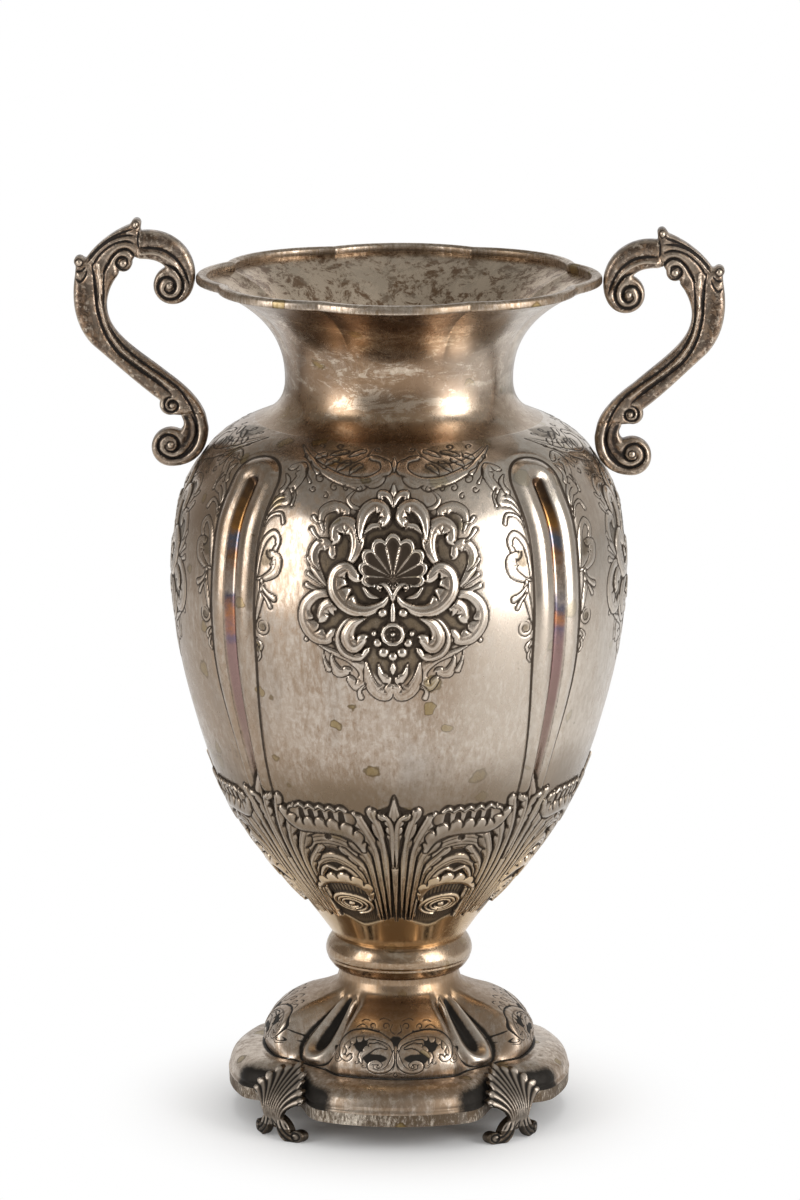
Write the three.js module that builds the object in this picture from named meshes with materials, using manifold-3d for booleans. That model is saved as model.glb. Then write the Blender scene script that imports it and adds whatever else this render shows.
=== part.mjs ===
// A silver two-handled vase on a four-lobed base with leaf feet.
// Millimetres, +Z up. The origin is on the floor under the middle, and the handles lie along X.

import * as THREE from 'three';
import { mergeVertices } from 'three/addons/utils/BufferGeometryUtils.js';
import Module from 'manifold-3d';

const wasm = await Module();
wasm.setup();

// Sheet and solder
const wall = 1.0; // thickness of the raised sheet
const solderGap = 0.3; // room left between two pieces that are soldered

// Heights of the stacked pieces, from the floor up
const floorClearance = 12.6; // the feet hold the base this far off the floor
const edgeBandRise = 5.4;
const plinthRise = 12;
const domeRise = 36.5;
const collarRise = 15.5;
const bellyRise = 164; // from the collar to the widest point
const shoulderRise = 74.5; // from the widest point to the neck seam
const waistRise = 17.5;
const flareRise = 43.3;
const rimWireRise = 4;

// Radii
const plinthRadius = 78;
const valleyCreaseRadius = 56; // where the dome meets the plinth, on a diagonal
const lobeBulge = 5; // the four lobes of the crease stand this far outside it
const domeNeckRadius = 27.6;
const collarRadius = 33.3;
const collarBore = 26.5;
const collarSeatRadius = 29.7; // where the belly stands on the collar
const bellyRadius = 102;
const neckSeamRadius = 64.5;
const waistRadius = 51;
const mouthRadius = 89;

// Rim
const rimLobes = 8;
const rimCuspDepth = 3.6;
const rimWireOverhang = 1.6; // the wire stands this far outside the sheet
const rimWireWidth = 4.8;
const rimWireRound = 1; // on the wire's lower outer edge; the upper edges are rounder

// Base plan
const notchDepth = 14; // cut into the round plinth on each diagonal, behind a foot
const notchHalfTurn = THREE.MathUtils.degToRad(20.5);
const lobeFromTurn = THREE.MathUtils.degToRad(9); // a lobe swells out between these turns from a diagonal
const lobeToTurn = THREE.MathUtils.degToRad(21);
const seatFlange = 2.4; // the plinth reaches this far under the dome's edge
const creaseLedge = 0.6; // and this far out of it
const edgeBandWidth = 2.4;
const edgeBandTuck = 0.3; // the band's foot lies this far inside its top

// Flutes pressed into the belly on the diagonals
const fluteChannel = 2.2;
const fluteRidge = 1.7;
const fluteGroove = 0.5;
const fluteHalfWidthLow = 7.7;
const fluteHalfWidthMid = 14;
const fluteHalfWidthTop = 13;
const fluteFoot = 81; // height of the low end above the collar seat
const fluteBend = 19.5; // the round end is centred this far under the neck seam

// Collar
const collarLip = 0.9; // the bead starts this far inside the seat's edge
const collarLipRise = 0.8;

// Loops pressed into the dome on the diagonals
const loopRidge = 1.7;
const loopChannel = 1.5;
const loopGroove = 0.6;
const loopHalfWidthTop = 4;
const loopHalfWidthFoot = 10.5;

// Handles
const handleReach = 53.5; // from the rim contact out to the joint of leaf and stem
const handleThickness = 10;
const handleEdgeRound = 2.2;
const leafEdgeRound = 1;
const shoulderContactDrop = 16; // the left lower scroll touches the belly this far under the neck seam
const rimContactRise = 1.6; // the left upper scroll touches the wire this far above the wire's seat
const rightHandleDrop = 3.2; // the right handle was soldered on this much lower

// Feet
const leafThickness = 1.7;
const leafRibHeight = 0.7;
const leafHalfWidth = 17.6;
const leafBow = 0.018; // the leaf bends back round the base by this much of the width squared
const ankleHalfWidth = 7;
const ankleHeight = 6;
const toeReach = 12.6; // sideways from the middle of the foot to the middle of the toe's curl
const toeCurlRadius = 2.9;
const toeDepth = 5;
const toeInset = 0.4; // the toes lie this far back from the leaf's face
const leafStandOff = 1; // the leaf's middle stands this far outside the base
const leafTipRise = 2.4; // the tip of the leaf stands this far above the base's crease
const leafTipClearance = 4; // room left between the tip's face and the crease
const wingDrop = 3.6; // the wings spread from this far under the top of the band
const toeHeel = 2.5; // the toes spring from this far beside the middle of the foot

// Fineness of the facets
const diagonalSteps = [-1.25, -0.95, -0.62, -0.3, 0, 0.3, 0.62, 0.95, 1.25];
const lobeColumns = 5;
const rimColumnsPerLobe = 6;
const collarColumns = 36;

// Heights and radii that follow
const edgeBandTop = floorClearance + edgeBandRise;
const plinthTop = edgeBandTop + plinthRise;
const collarBottom = plinthTop + domeRise;
const bellyBottom = collarBottom + collarRise;
const bellyHeight = bellyBottom + bellyRise;
const neckSeam = bellyHeight + shoulderRise;
const waistHeight = neckSeam + waistRise;
const rimSeat = waistHeight + flareRise;
const plinthCreaseRadius = valleyCreaseRadius + lobeBulge;
const rimWireRadius = mouthRadius + rimWireOverhang;

const quarter = Math.PI / 2;

// Profiles. Each point is a share of the way out and a share of the way up.

function stations(shares, fromRadius, toRadius, fromHeight, toHeight) {
  return shares.map(([out, up]) => new THREE.Vector2(
    THREE.MathUtils.lerp(fromRadius, toRadius, out),
    THREE.MathUtils.lerp(fromHeight, toHeight, up),
  ));
}

const lowerBelly = [
  [0, 0], [0.14, 0.085], [0.3, 0.165], [0.53, 0.3], [0.73, 0.46], [0.872, 0.65], [0.965, 0.83],
];
const shoulder = [
  [0, 0], [0.03, 0.3], [0.115, 0.525], [0.3, 0.71], [0.5, 0.85], [0.76, 0.945], [1, 1],
];
const bellyCurve = new THREE.SplineCurve([
  ...stations(lowerBelly, collarSeatRadius, bellyRadius, bellyBottom, bellyHeight),
  ...stations(shoulder, bellyRadius, neckSeamRadius, bellyHeight, neckSeam),
]);

const neckCurve = new THREE.CurvePath();
neckCurve.add(new THREE.CubicBezierCurve(
  new THREE.Vector2(neckSeamRadius, neckSeam),
  new THREE.Vector2(THREE.MathUtils.lerp(waistRadius, neckSeamRadius, 0.26), neckSeam + waistRise * 0.2),
  new THREE.Vector2(waistRadius, neckSeam + waistRise * 0.54),
  new THREE.Vector2(waistRadius, waistHeight),
));
neckCurve.add(new THREE.CubicBezierCurve(
  new THREE.Vector2(waistRadius, waistHeight),
  new THREE.Vector2(waistRadius, waistHeight + flareRise * 0.32),
  new THREE.Vector2(THREE.MathUtils.lerp(waistRadius, mouthRadius, 0.13), waistHeight + flareRise * 0.73),
  new THREE.Vector2(mouthRadius, rimSeat),
));

const domeLobe = [
  [0, 1], [0, 0.9], [0.06, 0.79], [0.256, 0.7], [0.56, 0.6], [0.82, 0.44], [0.965, 0.22], [1, 0],
];
const domeValley = [
  [0, 1], [0, 0.9], [0.05, 0.79], [0.18, 0.62], [0.42, 0.43], [0.7, 0.22], [0.92, 0.06], [1, 0],
];
const domeLobeCurve = new THREE.SplineCurve(
  stations(domeLobe, domeNeckRadius, plinthCreaseRadius, plinthTop, collarBottom));
const domeValleyCurve = new THREE.SplineCurve(
  stations(domeValley, domeNeckRadius, valleyCreaseRadius, plinthTop, collarBottom));

// Plan shapes round the axis

function fromDiagonal(turn) {
  return THREE.MathUtils.euclideanModulo(turn, quarter) - quarter / 2;
}

function notchShare(turn) {
  const share = Math.abs(fromDiagonal(turn)) / notchHalfTurn;
  return share < 1 ? (1 + Math.cos(Math.PI * share)) / 2 : 0;
}

function lobeShare(turn) {
  return THREE.MathUtils.smoothstep(Math.abs(fromDiagonal(turn)), lobeFromTurn, lobeToTurn);
}

function rimDip(turn) {
  const pitch = 2 * Math.PI / rimLobes;
  const share = THREE.MathUtils.euclideanModulo(turn / pitch + 0.5, 1) * 2 - 1;
  return rimCuspDepth * share * share;
}

// A groove, a round ridge and a hollow channel, by the distance from the middle in half widths.
const ridgeBump = { middle: 0.62, reach: 0.36 };
const channelBump = { middle: 0, reach: 0.42 };
const grooveBump = { middle: 0.98, reach: 0.2 };

function flutedSection(share, ridge, channel, groove) {
  const bump = ({ middle, reach }) => {
    const off = Math.abs(share - middle) / reach;
    return off < 1 ? (1 + Math.cos(Math.PI * off)) / 2 : 0;
  };
  return ridge * bump(ridgeBump) - channel * bump(channelBump) - groove * bump(grooveBump);
}

// Columns round the axis, close together across each diagonal and even over each lobe.
function columnTurns(halfTurn) {
  const turns = [];
  const edge = halfTurn * diagonalSteps[diagonalSteps.length - 1];
  for (let corner = 0; corner < 4; corner += 1) {
    const diagonal = quarter * (corner + 0.5);
    for (const step of diagonalSteps) {
      turns.push(diagonal + step * halfTurn);
    }
    for (let column = 1; column <= lobeColumns; column += 1) {
      turns.push(diagonal + edge + (quarter - 2 * edge) * column / (lobeColumns + 1));
    }
  }
  return turns;
}

function evenTurns(count) {
  return Array.from({ length: count }, (_, column) => 2 * Math.PI * column / count);
}

// Solids from lattices of points

function solidFromTriangles(points, triangles) {
  const geometry = new THREE.BufferGeometry();
  geometry.setAttribute('position', new THREE.Float32BufferAttribute(points.flat(), 3));
  geometry.setIndex(triangles);
  geometry.computeVertexNormals();
  return geometry;
}

// Rows run up the outside and down the inside. A row at radius 0 is one point on the axis.
function turnedSolid(rows) {
  const points = [];
  const starts = rows.map((row) => {
    const start = points.length;
    points.push(...row);
    return start;
  });
  const columns = Math.max(...rows.map((row) => row.length));
  const closed = rows[0].length > 1;
  const vertex = (row, column) => starts[row] + (rows[row].length > 1 ? column % columns : 0);
  const triangles = [];
  for (let row = 0; row < (closed ? rows.length : rows.length - 1); row += 1) {
    const next = (row + 1) % rows.length;
    for (let column = 0; column < columns; column += 1) {
      const corners = [
        vertex(row, column), vertex(row, column + 1), vertex(next, column + 1), vertex(next, column)];
      if (corners[0] !== corners[1]) {
        triangles.push(corners[0], corners[1], corners[2]);
      }
      if (corners[2] !== corners[3]) {
        triangles.push(corners[0], corners[2], corners[3]);
      }
    }
  }
  return solidFromTriangles(points, triangles);
}

// A bent plate: two grids of points of the same size, joined round their edges.
function plateSolid(front, back) {
  const high = front.length;
  const wide = front[0].length;
  const points = [...front.flat(), ...back.flat()];
  const at = (side, row, column) => side * high * wide + row * wide + column;
  const triangles = [];
  const quad = (a, b, c, d) => triangles.push(a, b, c, a, c, d);
  for (let row = 0; row + 1 < high; row += 1) {
    for (let column = 0; column + 1 < wide; column += 1) {
      const next = column + 1;
      quad(at(0, row, column), at(0, row, next), at(0, row + 1, next), at(0, row + 1, column));
      quad(at(1, row, column), at(1, row + 1, column), at(1, row + 1, next), at(1, row, next));
    }
    const last = wide - 1;
    quad(at(0, row, last), at(1, row, last), at(1, row + 1, last), at(0, row + 1, last));
    quad(at(1, row, 0), at(0, row, 0), at(0, row + 1, 0), at(1, row + 1, 0));
  }
  for (let column = 0; column + 1 < wide; column += 1) {
    const top = high - 1;
    quad(at(1, 0, column), at(1, 0, column + 1), at(0, 0, column + 1), at(0, 0, column));
    quad(at(0, top, column), at(0, top, column + 1), at(1, top, column + 1), at(1, top, column));
  }
  return solidFromTriangles(points, triangles);
}

function place(radius, turn, height) {
  return [radius * Math.cos(turn), radius * Math.sin(turn), height];
}

// Points along a curve with the direction that faces out of the sheet.
function sheetPoints(curve, count) {
  const spots = Array.from({ length: count + 1 }, (_, step) => curve.getPoint(step / count));
  return spots.map((spot, index) => {
    const before = spots[Math.max(index - 1, 0)];
    const after = spots[Math.min(index + 1, count)];
    const along = after.clone().sub(before).normalize();
    return { radius: spot.x, height: spot.y, outR: along.y, outZ: -along.x };
  });
}

// Moves a point through the sheet, keeping it level at a flat seam.
function offset(spot, amount, level = false) {
  if (level) {
    return [spot.radius + amount / Math.max(Math.abs(spot.outR), 0.3), spot.height];
  }
  return [spot.radius + amount * spot.outR, spot.height + amount * spot.outZ];
}

// The belly: one raised shell with a closed bottom

const bellySteps = 26;
const bellySpots = sheetPoints(bellyCurve, bellySteps);
const fluteLow = bellyBottom + fluteFoot;
const fluteTop = neckSeam - fluteBend;

function fluteHalfWidth(height) {
  const middle = (fluteLow + fluteTop) / 2;
  const below = THREE.MathUtils.smoothstep(height, fluteLow, middle);
  const above = THREE.MathUtils.smoothstep(height, middle, fluteTop);
  return fluteHalfWidthLow + (fluteHalfWidthMid - fluteHalfWidthLow) * below
    + (fluteHalfWidthTop - fluteHalfWidthMid) * above;
}

function bellyRadiusAt(height) {
  const upper = bellySpots.findIndex((spot) => spot.height >= height);
  const from = bellySpots[upper - 1];
  const to = bellySpots[upper];
  return THREE.MathUtils.mapLinear(height, from.height, to.height, from.radius, to.radius);
}

const bendRadius = bellyRadiusAt(fluteTop);

function bellyRelief(spot, turn) {
  const across = Math.abs(fromDiagonal(turn)) * spot.radius;
  const past = spot.height > fluteTop ? Math.hypot(spot.height - fluteTop, spot.radius - bendRadius) : 0;
  const share = Math.hypot(across, past) / fluteHalfWidth(spot.height);
  const strength = THREE.MathUtils.smoothstep(
    spot.height, fluteLow - fluteHalfWidthLow, fluteLow + fluteHalfWidthLow / 2);
  return strength * flutedSection(share, fluteRidge, fluteChannel, fluteGroove);
}

function makeBelly() {
  const row = (spot, depth, level) => {
    const turns = columnTurns(fluteHalfWidth(spot.height) / spot.radius);
    return turns.map((turn) => {
      const [radius, height] = offset(spot, bellyRelief(spot, turn) - depth, level);
      return place(radius, turn, height);
    });
  };
  const last = bellySpots[bellySteps];
  const outside = bellySpots.map((spot) => row(spot, 0, spot === last));
  const inside = bellySpots
    .filter((spot, index) => index % 2 === 0 || spot.height > fluteTop - fluteHalfWidthTop)
    .map((spot) => row(spot, wall, spot === last))
    .reverse();
  return turnedSolid([[[0, 0, bellyBottom]], ...outside, ...inside, [[0, 0, bellyBottom + wall]]]);
}

// The neck: one flared sheet from the shoulder seam to the lobed mouth

function makeNeck() {
  const waistSteps = 5;
  const spots = [
    ...sheetPoints(neckCurve.curves[0], waistSteps).slice(0, waistSteps),
    ...sheetPoints(neckCurve.curves[1], waistSteps + 3),
  ];
  const turns = evenTurns(rimLobes * rimColumnsPerLobe);
  const last = spots.length - 1;
  const row = (spot, depth) => turns.map((turn) => {
    const level = spot === spots[0] || spot === spots[last];
    const [radius, height] = offset(spot, -depth, level);
    const share = THREE.MathUtils.clamp((spot.height - waistHeight) / flareRise, 0, 1);
    return place(radius - rimDip(turn) * share * share, turn, height);
  });
  const outside = spots.map((spot) => row(spot, 0));
  const inside = spots
    .filter((_, index) => index % 2 === 0 || index === last)
    .map((spot) => row(spot, wall));
  return turnedSolid([...outside, ...inside.reverse()]);
}

// The rim wire: a drawn moulding bent to the lobes and soldered on the lip

function makeRimWire() {
  const inner = rimWireRadius - rimWireWidth;
  const section = [
    [inner, 0], [rimWireRadius - rimWireRound, 0], [rimWireRadius, rimWireRound],
    [rimWireRadius, rimWireRise - rimWireRound], [rimWireRadius - rimWireRound, rimWireRise],
    [inner + rimWireRound * 2, rimWireRise], [inner, rimWireRise - rimWireRound * 2],
  ];
  const turns = evenTurns(rimLobes * rimColumnsPerLobe);
  return turnedSolid(section.map(([radius, rise]) => turns.map(
    (turn) => place(radius - rimDip(turn), turn, rimSeat + rise))));
}

// The collar: a turned ring between the foot and the belly

function makeCollar() {
  const bulge = collarRadius - collarSeatRadius;
  const beadSteps = 8;
  const section = [[collarSeatRadius - collarLip, 0], [collarSeatRadius, collarLipRise]];
  for (let step = 1; step < beadSteps; step += 1) {
    const share = step / beadSteps;
    const out = bulge * Math.sin(Math.PI * share) ** 0.8;
    section.push([collarSeatRadius + out, THREE.MathUtils.lerp(collarLipRise, collarRise, share)]);
  }
  section.push([collarSeatRadius, collarRise], [collarBore, collarRise], [collarBore, 0]);
  const turns = evenTurns(collarColumns);
  return turnedSolid(section.map(([radius, rise]) => turns.map(
    (turn) => place(radius, turn, collarBottom + rise))));
}

// The dome: the raised upper half of the base, with a pressed loop on each diagonal

function domeSpot(share, turn) {
  const lobe = domeLobeCurve.getPoint(share);
  const valley = domeValleyCurve.getPoint(share);
  return valley.lerp(lobe, lobeShare(turn));
}

function loopHalfWidth(share) {
  const widening = THREE.MathUtils.smoothstep(share, 0.25, 0.8);
  return THREE.MathUtils.lerp(loopHalfWidthTop, loopHalfWidthFoot, widening);
}

function domeRelief(share, radius, turn) {
  const across = Math.abs(fromDiagonal(turn)) * radius;
  const loopBend = 0.68; // the loop's round end is centred this far down the dome
  const length = (valleyCreaseRadius - domeNeckRadius) * Math.SQRT2;
  const past = Math.max(share - loopBend, 0) * length;
  const spread = Math.hypot(across, past) / loopHalfWidth(share);
  const strength = THREE.MathUtils.smoothstep(share, 0.3, 0.45);
  return strength * flutedSection(spread, loopRidge, loopChannel, loopGroove);
}

function makeDome() {
  const steps = 10;
  const row = (share, depth) => {
    const middle = domeValleyCurve.getPoint(share);
    return columnTurns(loopHalfWidth(share) / middle.x).map((turn) => {
      const spot = domeSpot(share, turn);
      const before = domeSpot(Math.max(share - 0.05, 0), turn);
      const after = domeSpot(Math.min(share + 0.05, 1), turn);
      const down = after.sub(before).normalize();
      const amount = domeRelief(share, spot.x, turn) - depth;
      const level = share === 0 || share === 1;
      const radius = level ? spot.x + amount : spot.x - amount * down.y;
      return place(radius, turn, level ? spot.y : spot.y + amount * down.x);
    });
  };
  const shares = Array.from({ length: steps + 1 }, (_, step) => step / steps);
  const outside = shares.map((share) => row(share, 0)).reverse();
  const inside = shares.filter((_, step) => step % 2 === 0).map((share) => row(share, wall));
  return turnedSolid([...outside, ...inside]);
}

// The plinth: the spreading lower half of the base, and the band soldered under it

function plinthEdge(turn) {
  return plinthRadius - notchDepth * notchShare(turn);
}

function plinthCrease(turn) {
  return THREE.MathUtils.lerp(valleyCreaseRadius, plinthCreaseRadius, lobeShare(turn));
}

const baseHalfTurn = loopHalfWidthFoot / valleyCreaseRadius;

function makePlinth() {
  const turns = columnTurns(baseHalfTurn);
  const ovolo = [[0, 1], [0.42, 0.95], [0.78, 0.73], [0.96, 0.38], [1, 0]];
  const inside = ovolo.map(([out, up]) => turns.map((turn) => {
    const crease = plinthCrease(turn) - seatFlange;
    const radius = THREE.MathUtils.lerp(crease, plinthEdge(turn) - wall, out);
    return place(radius, turn, edgeBandTop + (plinthRise - wall) * up);
  }));
  const outside = ovolo.reverse().map(([out, up]) => turns.map((turn) => {
    const crease = plinthCrease(turn) + creaseLedge;
    const radius = THREE.MathUtils.lerp(crease, plinthEdge(turn), out);
    return place(radius, turn, edgeBandTop + plinthRise * up);
  }));
  const seat = turns.map((turn) => place(plinthCrease(turn) - seatFlange, turn, plinthTop));
  return turnedSolid([...outside, seat, ...inside]);
}

function makeEdgeBand() {
  const turns = columnTurns(baseHalfTurn);
  const section = [
    [edgeBandWidth, 0], [edgeBandTuck, 0], [0, edgeBandRise], [edgeBandWidth, edgeBandRise],
  ];
  return turnedSolid(section.map(([inset, rise]) => turns.map(
    (turn) => place(plinthEdge(turn) - inset, turn, floorClearance + rise))));
}

// The feet: a cast leaf folded round each notch of the base, on two curled toes

function toManifold(geometry) {
  const bare = geometry.clone();
  bare.deleteAttribute('normal');
  bare.deleteAttribute('uv');
  const merged = mergeVertices(bare, 1e-4);
  return new wasm.Manifold(new wasm.Mesh({
    numProp: 3,
    vertProperties: new Float32Array(merged.attributes.position.array),
    triVerts: new Uint32Array(merged.index.array),
  }));
}

function fromManifold(solid) {
  const mesh = solid.getMesh();
  const geometry = new THREE.BufferGeometry();
  geometry.setAttribute('position', new THREE.BufferAttribute(new Float32Array(mesh.vertProperties), 3));
  geometry.setIndex(new THREE.BufferAttribute(new Uint32Array(mesh.triVerts), 1));
  geometry.computeVertexNormals();
  return geometry;
}

const leafTop = plinthTop + leafTipRise;
const wingSpring = edgeBandTop - wingDrop; // the wings spread from this height

// The tip leans in over the notch.
const leafLean = plinthRadius + leafStandOff - valleyCreaseRadius - leafTipClearance;

// How far out the leaf's face lies, by the distance to the side and the height.
function leafFace(side, height) {
  const lean = Math.max(height - wingSpring, 0) / (leafTop - wingSpring);
  const middle = 1 - Math.min(Math.abs(side) / leafHalfWidth, 1) ** 2;
  return plinthRadius + leafStandOff - leafLean * middle * lean ** 1.6 - leafBow * side * side;
}

function makeLeaf() {
  const ribs = 7;
  const columns = ribs * 2;
  const rows = 5;
  const wingTurn = THREE.MathUtils.degToRad(78);
  const betweenRibs = 0.94; // the scalloped edge reaches this share as far between two ribs
  const grid = (depth) => Array.from({ length: rows + 1 }, (_, row) => {
    const up = row / rows;
    return Array.from({ length: columns + 1 }, (__, column) => {
      const across = 2 * column / columns - 1;
      const isRib = column % 2 === 1;
      const reach = isRib ? 1 : betweenRibs;
      const tipSide = leafHalfWidth * Math.sin(wingTurn * across) * reach;
      const tipHeight = wingSpring + (leafTop - wingSpring) * Math.cos(wingTurn * across) * reach;
      const side = THREE.MathUtils.lerp(ankleHalfWidth * across, tipSide, up ** 1.5);
      const height = THREE.MathUtils.lerp(ankleHeight, tipHeight, up);
      const rib = depth === 0 && isRib ? leafRibHeight : 0;
      return [leafFace(side, height) - depth + rib, side, height];
    });
  });
  return plateSolid(grid(0), grid(leafThickness));
}

function makeToe(direction) {
  const top = ankleHeight * 2;
  const instep = toeReach - toeCurlRadius;
  const arch = toeReach - toeCurlRadius * 1.9;
  const points = [
    ...new THREE.QuadraticBezierCurve(
      new THREE.Vector2(toeHeel, top), new THREE.Vector2(toeHeel + ankleHeight, top - ankleHeight / 3),
      new THREE.Vector2(instep, toeCurlRadius * 1.55)).getPoints(4),
    ...new THREE.EllipseCurve(
      toeReach, toeCurlRadius, toeCurlRadius, toeCurlRadius, Math.PI * 0.72, -Math.PI / 2, true,
    ).getPoints(9),
    ...new THREE.QuadraticBezierCurve(
      new THREE.Vector2(arch, 0), new THREE.Vector2(toeHeel + ankleHeight / 4, ankleHeight / 4),
      new THREE.Vector2(toeHeel, ankleHeight)).getPoints(3),
  ];
  const shape = new THREE.Shape(points.map((point) => new THREE.Vector2(direction * point.x, point.y)));
  const geometry = new THREE.ExtrudeGeometry(shape, { depth: toeDepth, bevelEnabled: false });
  // The outline stands upright across the foot, and its depth runs out from the axis.
  geometry.rotateX(Math.PI / 2);
  geometry.rotateZ(Math.PI / 2);
  const spots = geometry.attributes.position;
  for (let index = 0; index < spots.count; index += 1) {
    const inset = toeDepth - spots.getX(index);
    spots.setX(index, leafFace(spots.getY(index), 0) - inset - toeInset);
  }
  return geometry;
}

function makeFoot() {
  const leaf = toManifold(makeLeaf());
  const foot = leaf.add(toManifold(makeToe(1))).add(toManifold(makeToe(-1)));
  return fromManifold(foot);
}

// The handles: castings in the plane of the axis, soldered end to end

// The outlines are drawn at a reach of 53.5 and follow handleReach.
const handleScale = handleReach / 53.5;

// Where one casting ends and the next begins, in the drawing
const scrollEnd = 24.3; // out from the rim contact: upper scroll and leaf
const leafEnd = 2; // up from the rim contact: leaf and stem
const stemEnd = 16.5; // up from the shoulder contact: stem and lower scroll

function bend(from, fromPull, toPull, to, steps) {
  return new THREE.CubicBezierCurve(from, fromPull, toPull, to).getPoints(steps);
}

function curl(centre, drawnRadius, fromDegrees, toDegrees, steps) {
  const radius = drawnRadius * handleScale;
  const from = THREE.MathUtils.degToRad(fromDegrees);
  const to = THREE.MathUtils.degToRad(toDegrees);
  return new THREE.EllipseCurve(centre.x, centre.y, radius, radius, from, to, to < from).getPoints(steps);
}

function casting(outline, side, edgeRound) {
  const points = outline.map((point) => new THREE.Vector2(side * point.x, point.y));
  const geometry = new THREE.ExtrudeGeometry(new THREE.Shape(points), {
    depth: handleThickness - 2 * edgeRound,
    bevelThickness: edgeRound,
    bevelSize: edgeRound,
    bevelOffset: -edgeRound,
    bevelSegments: 2,
  });
  geometry.translate(0, 0, edgeRound - handleThickness / 2);
  geometry.rotateX(Math.PI / 2);
  return geometry;
}

// The outlines of one handle's castings. drop lowers the whole handle along the belly.
function handleOutlines(drop) {
  const shoulderHeight = neckSeam - shoulderContactDrop - drop;
  const rimContact = new THREE.Vector2(rimWireRadius + solderGap, rimSeat + rimContactRise - drop);
  const shoulderContact = new THREE.Vector2(
    bellyRadiusAt(shoulderHeight) + solderGap * 1.5, shoulderHeight);
  const drawn = (out, up) => new THREE.Vector2(out, up).multiplyScalar(handleScale);
  const atRim = (out, up) => drawn(out, up).add(rimContact);
  const atShoulder = (out, up) => drawn(out, up).add(shoulderContact);

  const upperScroll = [
    ...bend(atRim(scrollEnd, 21.3), atRim(11.5, 23), atRim(0.4, 14.5), atRim(0, 2), 6),
    ...bend(atRim(0, 2), atRim(-0.1, -5.5), atRim(3.6, -11.6), atRim(10.1, -11.6), 4).slice(1),
    ...curl(atRim(10.1, -3.1), 8.5, -90, 68, 7).slice(1),
    ...bend(atRim(13.4, 5.4), atRim(15.6, 7.8), atRim(19.6, 8.9), atRim(scrollEnd, 8.7), 3),
  ];

  const leaf = [
    ...curl(atRim(26, 24.8), 2.1, 200, 40, 4),
    ...bend(atRim(29, 24), atRim(37, 21), atRim(45, 14.5), atRim(48.7, 8.6), 5),
    ...curl(atRim(51.6, 7.6), 2.4, 140, -50, 5),
    atRim(53.2, 4.8),
    atRim(53.5, leafEnd),
    atRim(34.1, leafEnd),
    ...curl(atRim(31.9, 7), 3.9, -50, -190, 5),
    ...bend(atRim(27, 9.5), atRim(25.6, 11), atRim(24.9, 12), atRim(scrollEnd, 13.4), 2),
    atRim(scrollEnd, 21.6),
  ];

  const elbow = atRim(46.1, -30);
  const elbowPull = elbow.clone().lerp(atShoulder(19.3, 23), 0.3);
  const innerElbow = atRim(34.6, -25);
  const innerWaist = atShoulder(15.3, 35);
  const waistPull = innerWaist.clone().lerp(innerElbow, 0.35);
  const stem = [
    ...bend(atRim(53.5, leafEnd), atRim(55.9, -12), atRim(53.1, -22.5), elbow, 6),
    ...bend(elbow, elbowPull, atShoulder(28, 29.5), atShoulder(19.2, 23.2), 4).slice(1),
    ...curl(atShoulder(14.8, 21.4), 4.8, 10, -105, 4),
    atShoulder(10, stemEnd),
    ...bend(atShoulder(-1, stemEnd), atShoulder(1.5, 23.5), atShoulder(7.8, 29.6), innerWaist, 3),
    ...bend(innerWaist, waistPull, atRim(29.1, -31.5), innerElbow, 3).slice(1),
    ...bend(innerElbow, atRim(40.6, -18), atRim(42.1, -9), atRim(34.1, leafEnd), 6).slice(1),
  ];

  const lowerScroll = [
    atShoulder(10, stemEnd),
    ...bend(
      atShoulder(9, 14.2), atShoulder(8.6, 13), atShoulder(8.6, 11.4), atShoulder(10.3, 9.6), 2),
    ...curl(atShoulder(14.6, 2), 8.7, 118, -90, 9).slice(1),
    ...bend(
      atShoulder(14.6, -6.7), atShoulder(5.8, -6.7), atShoulder(-2.2, -1.5), atShoulder(-2.2, 10.5), 6,
    ).slice(1),
    atShoulder(-1, stemEnd),
  ];

  return { upperScroll, leaf, stem, lowerScroll };
}

// Finishes

function silver(color, roughness) {
  return new THREE.MeshStandardMaterial({ color, roughness, metalness: 1 });
}

const wornSilver = silver(0xb3a898, 0.3);
const castSilver = silver(0x85776a, 0.38);
const edgeSilver = silver(0x94897a, 0.42);

// Assembly

const vase = new THREE.Group();

function add(name, geometry, material, turn = 0) {
  const mesh = new THREE.Mesh(geometry, material);
  mesh.name = name;
  mesh.rotation.z = turn;
  vase.add(mesh);
}

add('body', makeBelly(), wornSilver);
add('neck', makeNeck(), wornSilver);
add('rim_wire', makeRimWire(), edgeSilver);
add('collar', makeCollar(), wornSilver);
add('foot_dome', makeDome(), wornSilver);
add('plinth', makePlinth(), wornSilver);
add('edge_band', makeEdgeBand(), edgeSilver);

const foot = makeFoot();
const footNames = ['foot_back_right', 'foot_back_left', 'foot_front_left', 'foot_front_right'];
footNames.forEach((name, corner) => add(name, foot, castSilver, quarter * (corner + 0.5)));

for (const [name, side, drop] of [['left', -1, 0], ['right', 1, rightHandleDrop]]) {
  const outlines = handleOutlines(drop);
  add(`handle_${name}_upper_scroll`, casting(outlines.upperScroll, side, handleEdgeRound), castSilver);
  add(`handle_${name}_leaf`, casting(outlines.leaf, side, leafEdgeRound), castSilver);
  add(`handle_${name}_stem`, casting(outlines.stem, side, handleEdgeRound), castSilver);
  add(`handle_${name}_lower_scroll`, casting(outlines.lowerScroll, side, handleEdgeRound), castSilver);
}

export default vase;
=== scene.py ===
import math

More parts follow.
